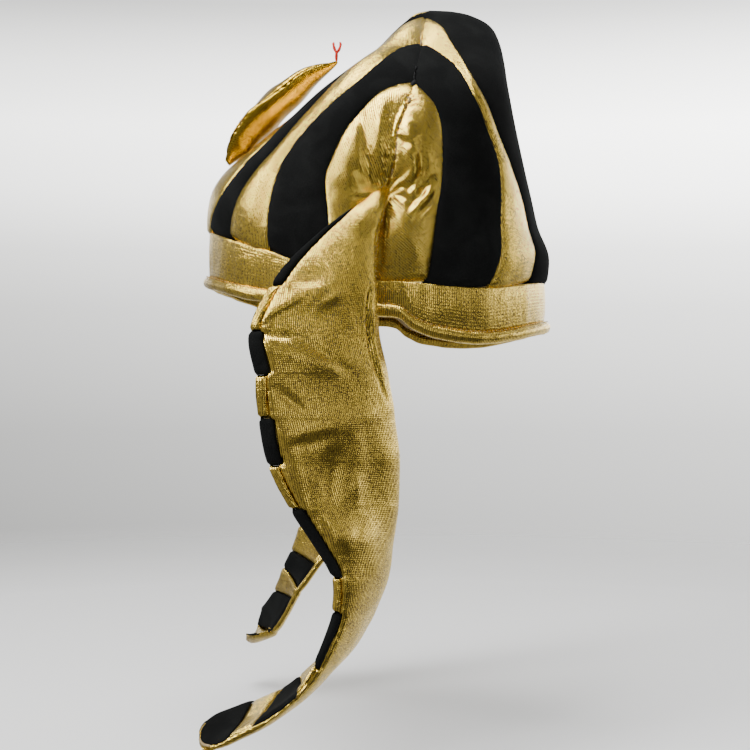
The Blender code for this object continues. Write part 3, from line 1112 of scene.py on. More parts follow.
@dataclass
class Crown:
    """The soft cap of gold and black strips.

    Neighbours overlap by twice `overlap`, in degrees, and twice `lift`, a share of the crown's height.
    The foot of each strip drops behind the band. At the side seam the front strips and the back strips
    run past each other by twice `tuck_under`.
    """

    form: CrownForm
    columns: int = 36
    rows: int = 116
    wall: float = 0.0012
    weld: float = 0.0003
    least_angle: float = 0.02
    overlap: float = 1.1
    lift: float = 0.011
    least_height: float = 0.0025
    greatest_height: float = 0.9985
    foot: float = 0.02
    band_drop: float = 0.003
    band_inset: float = 0.0024
    tuck_under: float = 0.0016
    tuck_reach: float = 0.0030
    seam_depth: float = 0.0020
    seam_reach: float = 0.0020
    last_step: float = 0.998
    front_angles: tuple[Arches, ...] = (
        Arches(0.0, 13.9, 36.2, 55.3, 90.0, 78.5),
        Arches(0.0, 16.6, 37.8, 51.0, 90.0, 64.0),
        Arches(0.0, 22.2, 42.2, 51.4, 90.0, 63.0),
        Arches(0.0, 23.5, 39.8, 53.5, 90.0, 69.0),
        Arches(0.0, 22.2, 35.6, 57.0, 90.0, 74.0),
        Arches(0.0, 18.7, 32.1, 60.0, 89.0, 72.0),
        Arches(0.0, 10.7, 23.2, 48.0, 60.0, 45.0),
        Arches(0.0, 0.0, 0.0, 0.0, 0.0, 0.0),
    )
    front_heights: tuple[Arches, ...] = (
        Arches(0.000, 0.000, 0.000, 0.000, 0.000, 0.000),
        Arches(0.172, 0.171, 0.210, 0.252, 0.200, 0.190),
        Arches(0.328, 0.314, 0.392, 0.433, 0.390, 0.360),
        Arches(0.453, 0.428, 0.516, 0.577, 0.570, 0.530),
        Arches(0.540, 0.525, 0.620, 0.700, 0.750, 0.700),
        Arches(0.585, 0.599, 0.719, 0.820, 0.900, 0.860),
        Arches(0.600, 0.641, 0.795, 0.925, 0.990, 0.965),
        Arches(0.604, 0.659, 0.832, 0.972, 0.998, 0.985),
    )
    back_angles: tuple[Arches, ...] = (
        Arches(0.0, 15.7, 38.4, 60.1, 90.0),
        Arches(0.0, 17.7, 45.4, 64.0, 90.0),
        Arches(0.0, 20.1, 47.0, 54.4, 90.0),
        Arches(0.0, 19.4, 41.0, 42.9, 90.0),
        Arches(0.0, 18.9, 32.3, 31.5, 90.0),
        Arches(0.0, 14.0, 23.1, 21.3, 89.0),
        Arches(0.0, 6.4, 11.0, 13.6, 60.0),
        Arches(0.0, 0.0, 0.0, 0.0, 0.0),
    )
    back_heights: tuple[Arches, ...] = (
        Arches(0.000, 0.000, 0.000, 0.000, 0.000),
        Arches(0.172, 0.151, 0.201, 0.219, 0.200),
        Arches(0.328, 0.286, 0.381, 0.412, 0.390),
        Arches(0.453, 0.396, 0.516, 0.555, 0.570),
        Arches(0.540, 0.493, 0.632, 0.681, 0.750),
        Arches(0.585, 0.573, 0.735, 0.808, 0.900),
        Arches(0.600, 0.624, 0.793, 0.918, 0.990),
        Arches(0.604, 0.659, 0.832, 0.972, 0.998),
    )
    strips: tuple[Strip, ...] = (
        Strip("front_side_panel", "seam", "panel", False, Slot.GOLD, -38.0),
        Strip("front_inner_black", "panel", "black", False, Slot.BLACK),
        Strip("front_outer_gold", "black", "gold", False, Slot.GOLD),
        Strip("front_outer_black", "gold", "centre", False, Slot.BLACK),
        Strip("front_centre_gold", "centre", "middle", False, Slot.GOLD),
        Strip("back_side_panel", "seam", "panel", True, Slot.GOLD, 52.0),
        Strip("back_inner_black", "panel", "black", True, Slot.BLACK),
        Strip("back_outer_gold", "black", "gold", True, Slot.GOLD, 4.0),
        Strip("back_centre_black", "gold", "middle", True, Slot.BLACK),
    )
    folds: tuple[Fold, ...] = (
        Fold((-8.0, 103.0), (-1.1, 62.7), 3.0, -2.0),
        Fold((3.5, 114.0), (3.0, 74.0), 4.5, 2.0),
        Fold((-20.0, 96.0), (-14.0, 58.0), 6.0, 0.9),
        Fold((9.0, 108.0), (6.5, 98.0), 2.0, -0.8),
        Fold((5.0, 88.0), (9.5, 84.0), 1.4, -0.9),
        Fold((4.5, 80.0), (9.0, 78.0), 1.2, -0.8),
        Fold((15.4, 90.6), (22.2, 84.4), 1.8, -2.4),
        Fold((18.5, 97.0), (23.0, 66.0), 4.0, 2.2),
        Fold((26.0, 88.0), (26.5, 52.0), 2.6, -2.0),
        Fold((31.0, 76.0), (36.5, 48.0), 4.5, -1.4),
        Fold((22.5, 61.5), (27.0, 49.0), 2.2, 1.5),
        Fold((11.5, 55.0), (30.0, 12.0), 5.0, 1.0),
        Fold((4.5, 46.0), (3.0, 14.0), 2.5, -1.5),
        Fold((18.7, 61.1), (27.8, 72.4), 1.6, -1.6),
        Fold((19.9, 52.6), (32.4, 66.8), 1.7, -1.8),
        Fold((22.2, 42.9), (34.6, 57.7), 1.7, -1.6),
        Fold((21.0, 48.0), (33.5, 62.0), 1.6, 1.2),
    )

    def __post_init__(self) -> None:
        """Reads the tables."""
        self._angle = {False: Curve(self.front_angles), True: Curve(self.back_angles)}
        self._height = {False: Curve(self.front_heights), True: Curve(self.back_heights)}

    def build(self) -> list[bpy.types.Object]:
        """Makes every strip.

        Returns:
            The finished objects.
        """
        made = []
        for strip in self.strips:
            for side in (Side.LEFT,) if strip.over else Side:
                made.append(self._strip_piece(strip, side).build_sheet())
        return made

    def _strip_piece(self, strip: Strip, side: Side) -> ClothPiece:
        """One strip, ready to be laid.

        Args:
            strip: Its row.
            side: Its side.

        Returns:
            The piece.
        """
        name = f"crown_{strip.name}" if strip.over else f"crown_{strip.name}_{side.word}"
        return ClothPiece(
            name=f"cloth_{name}",
            nodes=(name,),
            slot=strip.slot,
            place=lambda share, step: self._points(strip, side, share, step),
            heart=lambda share, step: stacked(share * 0, share * 0 + 0.02, share * 0 + 0.05),
            columns=self.columns,
            rows=self.rows,
            wall=self.wall,
            reliefs=self._reliefs(strip, side),
            grain=strip.grain * side.value,
            weld=self.weld,
        )

    def _reliefs(self, strip: Strip, side: Side) -> list[Relief]:
        """The relief of one strip.

        Args:
            strip: Its row.
            side: Its side.

        Returns:
            The reliefs.
        """
        seed = len(strip.name) * 1.7 + strip.back * 4.1 + side.value
        sewn = SewnEdge(self.seam_depth, self.seam_reach, low=True, high=not strip.over)
        if strip.slot is Slot.BLACK:
            return [sewn, Crinkles((0.024, 0.024, 0.034), 0.0007, seed)]
        found: list[Relief] = [
            sewn,
            Crinkles((0.019, 0.019, 0.030), 0.0006, seed),
            Crinkles((0.0062, 0.0062, 0.010), 0.00018, seed + 1),
            Puckers(0.0042, 0.00035, 0.0028, seed),
        ]
        if "panel" in strip.name:
            found += [Folds(self.folds), Pleats(self.form.tuck, 11.0, 0.012, 0.0011)]
            found.append(Puckers(0.0052, 0.0007, 0.0040, seed + 3, only_left=True))
        if strip.name == "front_side_panel":
            found.append(Piping(0.0026, 0.0011, 0.0019))
        return found

    def _points(self, strip: Strip, side: Side, share: Array, step: Array) -> Array:
        """Where a strip lies.

        Args:
            strip: Its row.
            side: Its side.
            share: Shares across it.
            step: Shares along it, from the band up.

        Returns:
            Points, one a row.
        """
        reach = 1 - np.abs(2 * share - 1) if strip.over else share
        flip = np.where(share > 0.5, -1, 1) if strip.over else side.value
        at = step * self.last_step * (len(self.front_angles) - 1)
        turns, rises = self._angle[strip.back], self._height[strip.back]
        angle = turns(strip.low, at) * (1 - reach) + turns(strip.high, at) * reach
        height = rises(strip.low, at) * (1 - reach) + rises(strip.high, at) * reach
        height = np.maximum(height, self.least_height)
        beyond = reach - 1 if strip.over else 2 * share - 1
        angle = np.maximum(angle + self.overlap * beyond, self.least_angle)
        height = np.clip(height + self.lift * beyond, 0.0, self.greatest_height)
        foot = 1 - smooth_step(step, 0.0, self.foot)
        puff = self.form.puff * 4 * share * (1 - share) - self.band_inset * foot
        signed = -angle if strip.back else angle
        points = self.form.point(signed, height, puff)
        near = np.abs(points[:, 1] - self.form.seam_y(points[:, 2]))
        points[:, 1] += (-1 if strip.back else 1) * self.tuck_under * np.exp(-near / self.tuck_reach)
        points[:, 2] -= self.band_drop * foot
        points[:, 0] *= flip
        return points


@dataclass
class HeadBand:
    """The ribbed gold band and the rolled hem below it."""

    form: CrownForm
    inset: float = 0.0004
    wall: float = 0.0018
    bulge: float = 0.0006
    hem_depth: float = 0.0068
    hem_width: float = 0.0062
    hem_inset: float = -0.0004
    hem_plump: float = 1.12
    hem_fill: float = 0.5
    gap: float = 0.0003
    weld: float = 2e-6
    columns: int = 420
    band_rows: int = 18
    hem_rows: int = 14
    stitch_pitch: float = 0.0031
    stitch_radius: float = 0.00028
    stitch_lift: float = 0.0001
    stitch_place: float = 0.20

    def ring(self, turn: Array, inset: Array | float) -> Array:
        """Points on the band's outline, level with the origin.

        Args:
            turn: Radians round the head from the left side.
            inset: How far in from the crown's foot.

        Returns:
            Points, one a row.
        """
        angle = np.degrees(np.arcsin(np.abs(np.sin(turn)))) * np.where(np.sin(turn) < 0, 1, -1)
        angle = np.where(angle == 0, 1e-6, angle)
        skin = self.form.skin(angle, np.zeros_like(turn))
        x = np.copysign(skin[:, 0], np.cos(turn))
        away = unit(stacked(x / self.form.half_width, skin[:, 1] / self.form.half_depth, x * 0))
        return stacked(x, skin[:, 1], x * 0) - away * np.reshape(inset, (-1, 1))

    def _edge(self, turn: Array, column: str) -> Array:
        """Heights of the band's top or rim, round the head."""
        return self.form.band_height(self.ring(turn, 0.0)[:, 1], column)

    def _band_points(self, around: Array, up: Array) -> Array:
        """Points of the band's outer face.

        Args:
            around: Shares of the way round the head.
            up: Shares of the way from the hem to the band's top.

        Returns:
            Points, one a row.
        """
        turn = math.tau * around
        points = self.ring(turn, self.inset - self.bulge * np.sin(math.pi * up))
        top = self._edge(turn, "top") - 0.5 * self.gap
        low = self._edge(turn, "rim") + self.hem_depth - self.gap
        points[:, 2] = low + (top - low) * up
        return points

    def _hem_points(self, around: Array, section: Array) -> Array:
        """Points of the rolled hem.

        Args:
            around: Shares of the way round the head.
            section: Shares of the way round the roll.

        Returns:
            Points, one a row.
        """
        turn, spin = math.tau * around, math.tau * section
        points = self.ring(turn, self.hem_inset - self.hem_width / 2 * np.cos(spin))
        middle = self._edge(turn, "rim") + self.hem_depth / 2
        points[:, 2] = middle + self.hem_depth / 2 * self.hem_plump * np.sin(spin)
        return points

    def _hem_line(self, around: Array) -> Array:
        """The middle line of the hem.

        Args:
            around: Shares of the way round the head.

        Returns:
            Points, one a row.
        """
        turn = math.tau * around
        points = self.ring(turn, self.hem_inset)
        points[:, 2] = self._edge(turn, "rim") + self.hem_depth / 2
        return points

    def build(self) -> list[bpy.types.Object]:
        """Makes the band, the hem and the hem's stitches.

        Returns:
            The finished objects.
        """
        band = ClothPiece(
            name="cloth_headband",
            nodes=("headband",),
            slot=Slot.GOLD,
            place=self._band_points,
            heart=lambda around, up: self._band_points(around, up) * np.array((0.5, 0.5, 1.0)),
            columns=self.columns,
            rows=self.band_rows,
            wall=self.wall,
            reliefs=[
                Crinkles((0.010, 0.010, 0.060), 0.0007, 2.0),
                Crinkles((0.022, 0.022, 0.060), 0.0010, 3.0),
                Crinkles((0.005, 0.005, 0.012), 0.00022, 4.0),
            ],
            straight=True,
            weld=self.weld,
        )
        hem = ClothPiece(
            name="cloth_headband_hem",
            nodes=("headband_rolled_hem",),
            slot=Slot.GOLD,
            place=self._hem_points,
            heart=lambda around, section: self._hem_line(around),
            columns=self.columns,
            rows=self.hem_rows,
            wall=0.0,
            reliefs=[
                Crinkles((0.006, 0.006, 0.006), 0.00030, 6.0),
                Crinkles((0.015, 0.015, 0.015), 0.00045, 7.0),
            ],
            straight=True,
            weld=self.weld,
        )
        return [band.build_sheet(), hem.build(), self._stitches()]

    def _stitches(self) -> bpy.types.Object:
        """The line of stitches along the top of the hem.

        Returns:
            The finished object.
        """
        around = np.linspace(0, 1, 2000, endpoint=False)
        line = self._hem_points(around, around * 0 + self.stitch_place)
        outward = unit(line - self._hem_line(around))
        line = line + outward * self.stitch_lift
        return stitch_line("hem_stitches", line, self.stitch_pitch, self.stitch_radius)


def stitch_line(name: str, line: Array, pitch: float, radius: float) -> bpy.types.Object:
    """Small stitches of gold thread along a line.

    Args:
        name: The piece's name.
        line: Points along the line, close together.
        pitch: From one stitch to the next.
        radius: Half the thread's thickness.

    Returns:
        The finished object.
    """
    steps = np.linalg.norm(np.diff(line, axis=0), axis=1)
    far = np.concatenate([[0], np.cumsum(steps)])
    half = 0.35 * pitch
    mesh = bmesh.new()
    for middle in np.arange(pitch / 2, far[-1], pitch):
        ends = [
            Vector([np.interp(middle + shift, far, line[:, axis]) for axis in range(3)])
            for shift in (-half, half)
        ]
        run = ends[1] - ends[0]
        spin = run.to_track_quat("Z", "Y").to_matrix().to_4x4()
        size = Matrix.Diagonal((radius, radius, run.length / 2 + radius * 0.5, 1.0))
        place = Matrix.Translation((ends[0] + ends[1]) / 2) @ spin @ size
        bmesh.ops.create_icosphere(mesh, subdivisions=1, radius=1.0, matrix=place)
    piece = mesh_object(name, mesh)
    piece.data.materials.append(GOLD_THREAD.material())
    return fasten(piece, Slot.GOLD, ())


# Lappets


class Station(NamedTuple):
    """Places on the lappet's front and rear edges, one row after the other from the tuck down.

    x is a share of the way out from the tuck to the spread, y is in half depths, drop in the lappet's
    drop and plump in its thickness.
    """

    front_x: float
    front_y: float
    front_drop: float
    rear_x: float
    rear_y: float
    rear_drop: float
    plump: float


class Lean(NamedTuple):
    """How many stations nearer the tuck a stripe's rear end is than its front end."""

    station: float
    left: float
    right: float


@dataclass
class Lappet:
    """A padded strap that hangs from the tuck, with a gold back and a striped face.

    The two faces meet in a seam round the front edge. `wrap`, `narrowing` and `rim` are shares of the
    width. Places along the strap are fractional stations: the ends of the stripes, the leans,
    `stripe_gap`, `tip_round` and the fields that end in fade, grow or step.
    """

    form: CrownForm
    side: Side
    spread: float = 0.156
    tuck_share: float = 0.979
    drop: float = 0.300
    thickness: float = 0.0085
    wrap: float = 0.095
    unwrap: float = 1.5
    wrap_fade: tuple[float, float] = (11.0, 16.0)
    narrowing: float = 0.030
    narrowing_step: float = 0.04
    rim: float = 0.07
    rim_fade: tuple[float, float] = (15.5, 17.0)
    tip_round: float = 0.75
    tip_gap: float = 0.0016
    cup: float = 0.004
    swing: float = 0.040
    swing_grow: tuple[float, float] = (5.0, 12.0)
    swing_front_fade: tuple[float, float] = (14.0, 18.0)
    swing_rear_fade: tuple[float, float] = (12.0, 15.8)
    fill: float = 0.45
    wall: float = 0.0006
    stripe_gap: float = 0.002
    columns: int = 84
    stripe_columns: int = 44
    back_rows: int = 280
    stripe_rows: float = 14.0
    stations: tuple[Station, ...] = (
        Station(0.0005, 0.026, 0.005, -0.0006, 0.079, 0.002, 0.55),
        Station(0.2295, -0.157, 0.047, 0.1558, 0.047, 0.042, 0.62),
        Station(0.3411, -0.326, 0.096, 0.1960, 0.005, 0.096, 0.70),
        Station(0.4640, -0.512, 0.170, 0.2138, 0.007, 0.175, 0.90),
        Station(0.5846, -0.642, 0.269, 0.1960, 0.028, 0.274, 1.00),
        Station(0.6427, -0.608, 0.349, 0.1781, 0.074, 0.349, 1.00),
        Station(0.6561, -0.592, 0.426, 0.1692, 0.104, 0.433, 1.00),
        Station(0.6561, -0.543, 0.512, 0.1692, 0.131, 0.508, 1.00),
        Station(0.6561, -0.427, 0.591, 0.1692, 0.126, 0.588, 1.00),
        Station(0.6561, -0.312, 0.653, 0.1558, 0.100, 0.658, 1.00),
        Station(0.6561, -0.216, 0.711, 0.1401, 0.063, 0.728, 0.98),
        Station(0.6851, -0.210, 0.772, 0.1401, -0.021, 0.793, 0.95),
        Station(0.7432, -0.249, 0.820, 0.1692, -0.131, 0.854, 0.92),
        Station(0.8146, -0.312, 0.876, 0.1982, -0.256, 0.873, 0.90),
        Station(0.8705, -0.394, 0.917, 0.2406, -0.433, 0.924, 0.88),
        Station(0.9285, -0.515, 0.951, 0.2987, -0.576, 0.947, 0.85),
        Station(0.9710, -0.620, 0.970, 0.3702, -0.696, 0.958, 0.80),
        Station(1.0000, -0.735, 0.989, 0.4997, -0.820, 0.969, 0.70),
        Station(0.9866, -0.838, 1.004, 0.7700, -0.890, 0.980, 0.45),
    )
    left_ends: tuple[float, ...] = (
        0.0, 3.15, 4.0, 5.0, 6.0, 7.0, 8.0, 10.0, 11.0, 12.8, 13.9, 15.9, 16.9, 18.0,
    )
    right_ends: tuple[float, ...] = (
        0.0, 3.15, 4.0, 5.0, 6.0, 7.0, 8.0, 10.0, 11.0, 11.85, 12.95, 15.9, 16.9, 18.0,
    )
    leans: tuple[Lean, ...] = (
        Lean(0.0, 0.0, 0.0),
        Lean(12.8, 0.0, 0.0),
        Lean(13.9, 0.20, 0.10),
        Lean(15.9, 1.70, 0.40),
        Lean(16.9, 1.55, 0.30),
        Lean(18.0, 0.0, 0.0),
    )
    folds: tuple[Fold, ...] = (
        Fold((-63.6, -21.3), (-41.5, -23.5), 1.8, -1.3),
        Fold((-41.5, -23.5), (-13.8, -42.3), 2.6, -1.2),
        Fold((-59.2, -28.5), (-22.1, -40.1), 4.5, 1.3),
        Fold((-62.5, -13.6), (-24.9, 5.2), 5.0, 1.5),
        Fold((-64.7, -19.7), (-34.8, -0.9), 1.6, -1.0),
        Fold((-31.0, -6.9), (-17.1, 1.9), 2.4, 1.0),
        Fold((-53.1, -51.2), (-38.2, -63.4), 2.6, -1.4),
        Fold((-57.0, -79.9), (5.0, -62.2), 13.0, 1.8),
        Fold((-57.0, -81.0), (5.0, -63.0), 5.0, 0.6),
        Fold((-49.8, -83.3), (-24.9, -77.7), 3.4, -1.1),
        Fold((-50.9, -83.3), (-48.1, -95.4), 2.4, -1.8),
        Fold((-22.1, -88.2), (-23.8, -115.9), 5.0, -1.5),
        Fold((-10.0, -101.0), (-9.4, -113.1), 3.2, 1.3),
        Fold((-31.5, -118.7), (-26.0, -134.1), 2.4, -1.3),
        Fold((-27.0, -129.0), (-10.0, -134.0), 7.5, 2.6),
        Fold((-41.5, -88.2), (-34.8, -113.1), 5.0, 1.0),
        Fold((-2.8, 4.1), (-4.4, -7.5), 0.7, -1.3),
        Fold((-4.4, -7.5), (-2.8, -28.5), 0.7, -1.5),
        Fold((-2.8, -28.5), (2.2, -45.1), 0.7, -1.5),
        Fold((2.2, -45.1), (6.6, -57.8), 0.7, -0.9),
        Fold((-1.2, -8.0), (0.6, -29.0), 1.8, 0.8),
        Fold((0.6, -29.0), (5.2, -46.0), 1.8, 0.8),
    )

    def __post_init__(self) -> None:
        """Reads the tables."""
        self._station = Curve(self.stations)
        self._lean = Curve(self.leans, "station")
        self.ends = self.left_ends if self.side is Side.LEFT else self.right_ends

    def edges(self, at: Array) -> tuple[Array, Array]:
        """The front and rear edges.

        Args:
            at: Fractional stations from the tuck down.

        Returns:
            Points on the front edge and on the rear edge.
        """
        tuck = self.tuck_share * self.form.half_width
        found = []
        for edge, fade in (("front", self.swing_front_fade), ("rear", self.swing_rear_fade)):
            x = tuck + (self.spread - tuck) * self._station(f"{edge}_x", at)
            y = self.form.half_depth * self._station(f"{edge}_y", at)
            if self.side is Side.RIGHT:
                y = y - self._right_swing(at, fade)
            z = self.form.tuck_height - self.drop * self._station(f"{edge}_drop", at)
            found.append(stacked(x, y, z))
        return found[0], found[1]

    def outward(self, at: Array) -> Array:
        """The way that the gold back faces.

        Args:
            at: Fractional stations from the tuck down.

        Returns:
            Unit vectors, one a row.
        """
        step = 0.35
        before = np.maximum(at - step, 0)
        after = np.minimum(at + step, self._station.last)
        down = sum(self.edges(after)) - sum(self.edges(before))
        front, rear = self.edges(at)
        return unit(np.cross(down, rear - front))

    def _right_swing(self, at: Array, fade: tuple[float, float]) -> Array:
        """How far forward of the left one the right lappet hangs.

        Args:
            at: Fractional stations from the tuck down.
            fade: The stations between which the swing of this edge ends.

        Returns:
            Metres, one for each station.
        """
        gone = np.clip((at - fade[0]) / (fade[1] - fade[0]), 0, 1)
        return self.swing * smooth_step(at, *self.swing_grow) * (1 - gone)

    def _seam(self, at: Array) -> Array:
        """Where the two faces meet, as a share of the width; below 0 it is on the striped face.

        Args:
            at: Fractional stations from the tuck down.

        Returns:
            Shares, one for each station.
        """
        narrow, step = at * 0.0, self.narrowing_step
        for low, high in zip(self.ends[1::2], self.ends[2::2]):
            narrow += smooth_step(at, low - step, low + step) - smooth_step(at, high - step, high + step)
        return self.wrap * (1 - self.unwrap * smooth_step(at, *self.wrap_fade)) - self.narrowing * narrow

    def point(self, at: Array, share: Array, layer: Array | float) -> Array:
        """Points of the strap.

        Args:
            at: Fractional stations from the tuck down.
            share: Shares across, from the front edge to the rear edge.
            layer: 1 on the gold back, -1 on the striped face and 0 between them.

        Returns:
            Points, one a row.
        """
        at = at - self._lean(self.side.word, at) * share
        closing = np.clip((self._station.last - at) / self.tip_round, 0.0, 1.0)
        share = 0.5 + (share - 0.5) * np.sqrt(1 - (1 - closing) ** 2)
        front, rear = self.edges(at)
        plump = self._station("plump", at) * np.sqrt(closing)
        off = np.minimum(np.abs(2 * share - 1), 1.0)
        body = np.sqrt(1 - off**3)
        half = self.thickness / 2 * plump * (0.45 + 0.55 * body) * np.sqrt(1 - off**12)
        half = half + self.tip_gap * (1 - closing)
        cup = self.cup * plump * np.sin(math.pi * share)
        rise = self.outward(at) * (cup + layer * half)[:, None]
        points = front + (rear - front) * share[:, None] + rise
        points[:, 0] *= self.side.value
        return points

    def _round(self, at: Array, across: Array, end: float, rim: float) -> Array:
        """Points round the section from the seam between the two faces to the rear rim.

        Args:
            at: Fractional stations from the tuck down.
            across: Shares of the way from the seam to the rear rim.
            end: The rear edge: 1 on the gold back, -1 on the striped face.
            rim: Share of the rear rim's width past that edge where the face stops.

        Returns:
            Points, one a row.
        """
        seam = self._seam(at)
        end = end + rim * self.rim * (1 - smooth_step(at, *self.rim_fade))
        place = seam + (end - seam) * (0.5 - 0.5 * np.cos(math.pi * across))
        layer = np.where((place > 0) & (place < 1), 1.0, -1.0)
        return self.point(at, 1 - np.abs(1 - np.abs(place)), layer)

    def build(self) -> list[bpy.types.Object]:
        """Makes the gold back and the stripes.

        Returns:
            The finished objects.
        """
        pieces = [self._back_piece()]
        for number, (low, high) in enumerate(zip(self.ends, self.ends[1:]), 1):
            pieces.append(self._stripe_piece(number, low, high))
        return [piece.build() for piece in pieces]

    def _heart(self, at: Array, across: Array) -> Array:
        """Points in the middle of the padding."""
        return self.point(at, 0.08 + 0.9 * across, 0.0)

    def _back_piece(self) -> ClothPiece:
        """The gold back, ready to be laid.

        Returns:
            The piece.
        """
        name = f"lappet_{self.side.word}_gold_back"
        last = self._station.last
        seed = 20.0 + self.side.value
        return ClothPiece(
            name=f"cloth_{name}",
            nodes=(name,),
            slot=Slot.GOLD,
            place=lambda across, down: self._round(down * last, across, 1.0, 1.0),
            heart=lambda across, down: self._heart(down * last, across),
            columns=self.columns,
            rows=self.back_rows,
            wall=self.wall,
            reliefs=[
                SewnEdge(0.0020, 0.0011, fade=0.030),
                Folds(self.folds),
                Crinkles((0.023, 0.023, 0.028), 0.0010, seed),
                Crinkles((0.0085, 0.0085, 0.0100), 0.00035, seed + 1),
                Puckers(0.0061, 0.00032, 0.0040, seed, only_left=True),
            ],
        )

    def _stripe_piece(self, number: int, low: float, high: float) -> ClothPiece:
        """One stripe, ready to be laid.

        Args:
            number: Its number from the tuck down.
            low: The station where it starts.
            high: The station where it ends.

        Returns:
            The piece.
        """
        slot = Slot.BLACK if number % 2 else Slot.GOLD
        word = "black" if number % 2 else "gold"
        name = f"lappet_{self.side.word}_stripe_{number:02d}_{word}"
        low = low + (self.stripe_gap if number > 1 else 0.0)
        high = high - self.stripe_gap
        seed = 40.0 + number + self.side.value
        tip = number == len(self.ends) - 1
        reliefs: list[Relief] = [SewnEdge(0.0006 if tip else 0.0018, 0.0010, low=True, high=not tip)]
        if slot is Slot.GOLD:
            reliefs.append(Crinkles((0.007, 0.007, 0.009), 0.00035, seed))
            reliefs.append(Puckers(0.004, 0.0004, 0.003, seed))
        else:
            reliefs.append(Crinkles((0.014, 0.014, 0.014), 0.0004, seed))
        return ClothPiece(
            name=f"cloth_{name}",
            nodes=(name,),
            slot=slot,
            place=lambda across, down: self._round(low + (high - low) * down, across, -1.0, 0.5),
            heart=lambda across, down: self._heart(low + (high - low) * down, across),
            columns=self.stripe_columns,
            rows=max(round((high - low) * self.stripe_rows), 10),
            wall=self.wall,
            reliefs=reliefs,
        )


# Cobra


class Section(NamedTuple):
    """A section of the cobra, as shares of its length, half width and thickness.

    `seam` is the height of its sewn edge, as a share of the upper face's.
    """

    along: float
    rise: float
    half_width: float
    thickness: float
    seam: float


@dataclass
class Cobra:
    """A stuffed leaf-shaped body sewn from two panels along its edges, with a forked tongue.

    `foot` and `tip` are the y and z of its ends, in the crown's half depths.
    """

    form: CrownForm
    length: float = 0.0947
    half_width: float = 0.020
    thickness: float = 0.0195
    foot: tuple[float, float] = (-0.867, 0.831)
    tip: tuple[float, float] = (-0.224, 1.434)
    upper_share: float = 0.9
    wall: float = 0.0008
    fill: float = 0.7
    columns: int = 48
    rows: int = 90
    sections: tuple[Section, ...] = (
        Section(0.00, 0.000, 0.28, 0.16, 0.80),
        Section(0.08, 0.027, 0.52, 0.47, 0.85),
        Section(0.17, 0.032, 0.78, 0.80, 0.88),
        Section(0.32, 0.048, 1.00, 0.98, 0.86),
        Section(0.46, 0.064, 1.00, 0.98, 0.42),
        Section(0.62, 0.058, 0.90, 0.95, 0.34),
        Section(0.77, 0.054, 0.68, 0.80, 0.36),
        Section(0.90, 0.034, 0.38, 0.50, 0.20),
        Section(1.00, 0.000, 0.08, 0.09, 0.00),
    )

    def __post_init__(self) -> None:
        """Reads the table and works out the body's own axes."""
        self._section = Curve(self.sections, "along")
        depth = self.form.half_depth
        self._foot = np.array((0.0, self.foot[0] * depth, self.foot[1] * depth))
        self._tip = np.array((0.0, self.tip[0] * depth, self.tip[1] * depth))
        self._chord = unit(self._tip - self._foot)
        self._rise = np.array((0.0, -self._chord[2], self._chord[1]))

    def _axis(self, along: Array) -> Array:
        """Points on the body's middle line."""
        lift = self._section("rise", along) * self.length
        return self._foot + (self._tip - self._foot) * along[:, None] + self._rise * lift[:, None]

    def _points(self, across: Array, along: Array, upper: bool) -> Array:
        """Points of one panel.

        Args:
            across: Shares across, from the left edge to the right edge.
            along: Shares along, from the fixed end to the tip.
            upper: Whether it is the panel that faces away from the crown.

        Returns:
            Points, one a row.
        """
        side = np.cos(math.pi * across)
        bow = np.sqrt(np.clip(1 - np.abs(side) ** 2.2, 0, 1))
        half = self._section("thickness", along) * self.thickness / 2
        crest = half * self.upper_share
        seam = self._section("seam", along) * crest
        lift = seam + ((crest if upper else -half) - seam) * bow
        points = self._axis(along) + self._rise * lift[:, None]
        points[:, 0] = self._section("half_width", along) * self.half_width * side
        return points

    def build(self) -> list[bpy.types.Object]:
        """Makes the two panels and the tongue.

        Returns:
            The finished objects.
        """
        made = []
        for word, upper in (("top", True), ("under", False)):
            piece = ClothPiece(
                name=f"cloth_cobra_{word}",
                nodes=("cobra_body",),
                slot=Slot.GOLD,
                place=lambda across, along, upper=upper: self._points(across, along, upper),
                heart=lambda across, along: self._axis(along),
                columns=self.columns,
                rows=self.rows,
                wall=self.wall,
                reliefs=[
                    SewnEdge(0.0005, 0.0010),
                    Crinkles((0.017, 0.017, 0.017), 0.0015, 60.0 + upper),
                    Crinkles((0.008, 0.008, 0.008), 0.0002, 62.0 + upper),
                    Puckers(0.0060, 0.0004, 0.003, 64.0),
                ],
                face=COBRA_FOIL,
            )
            made.append(piece.build())
        made.append(Tongue(self._tip).build())
        return made


class Bend(NamedTuple):
    """A point on a strand of the tongue, from the cobra's tip, and the strand's radius there, in mm."""

    x: float
    y: float
    z: float
    radius: float


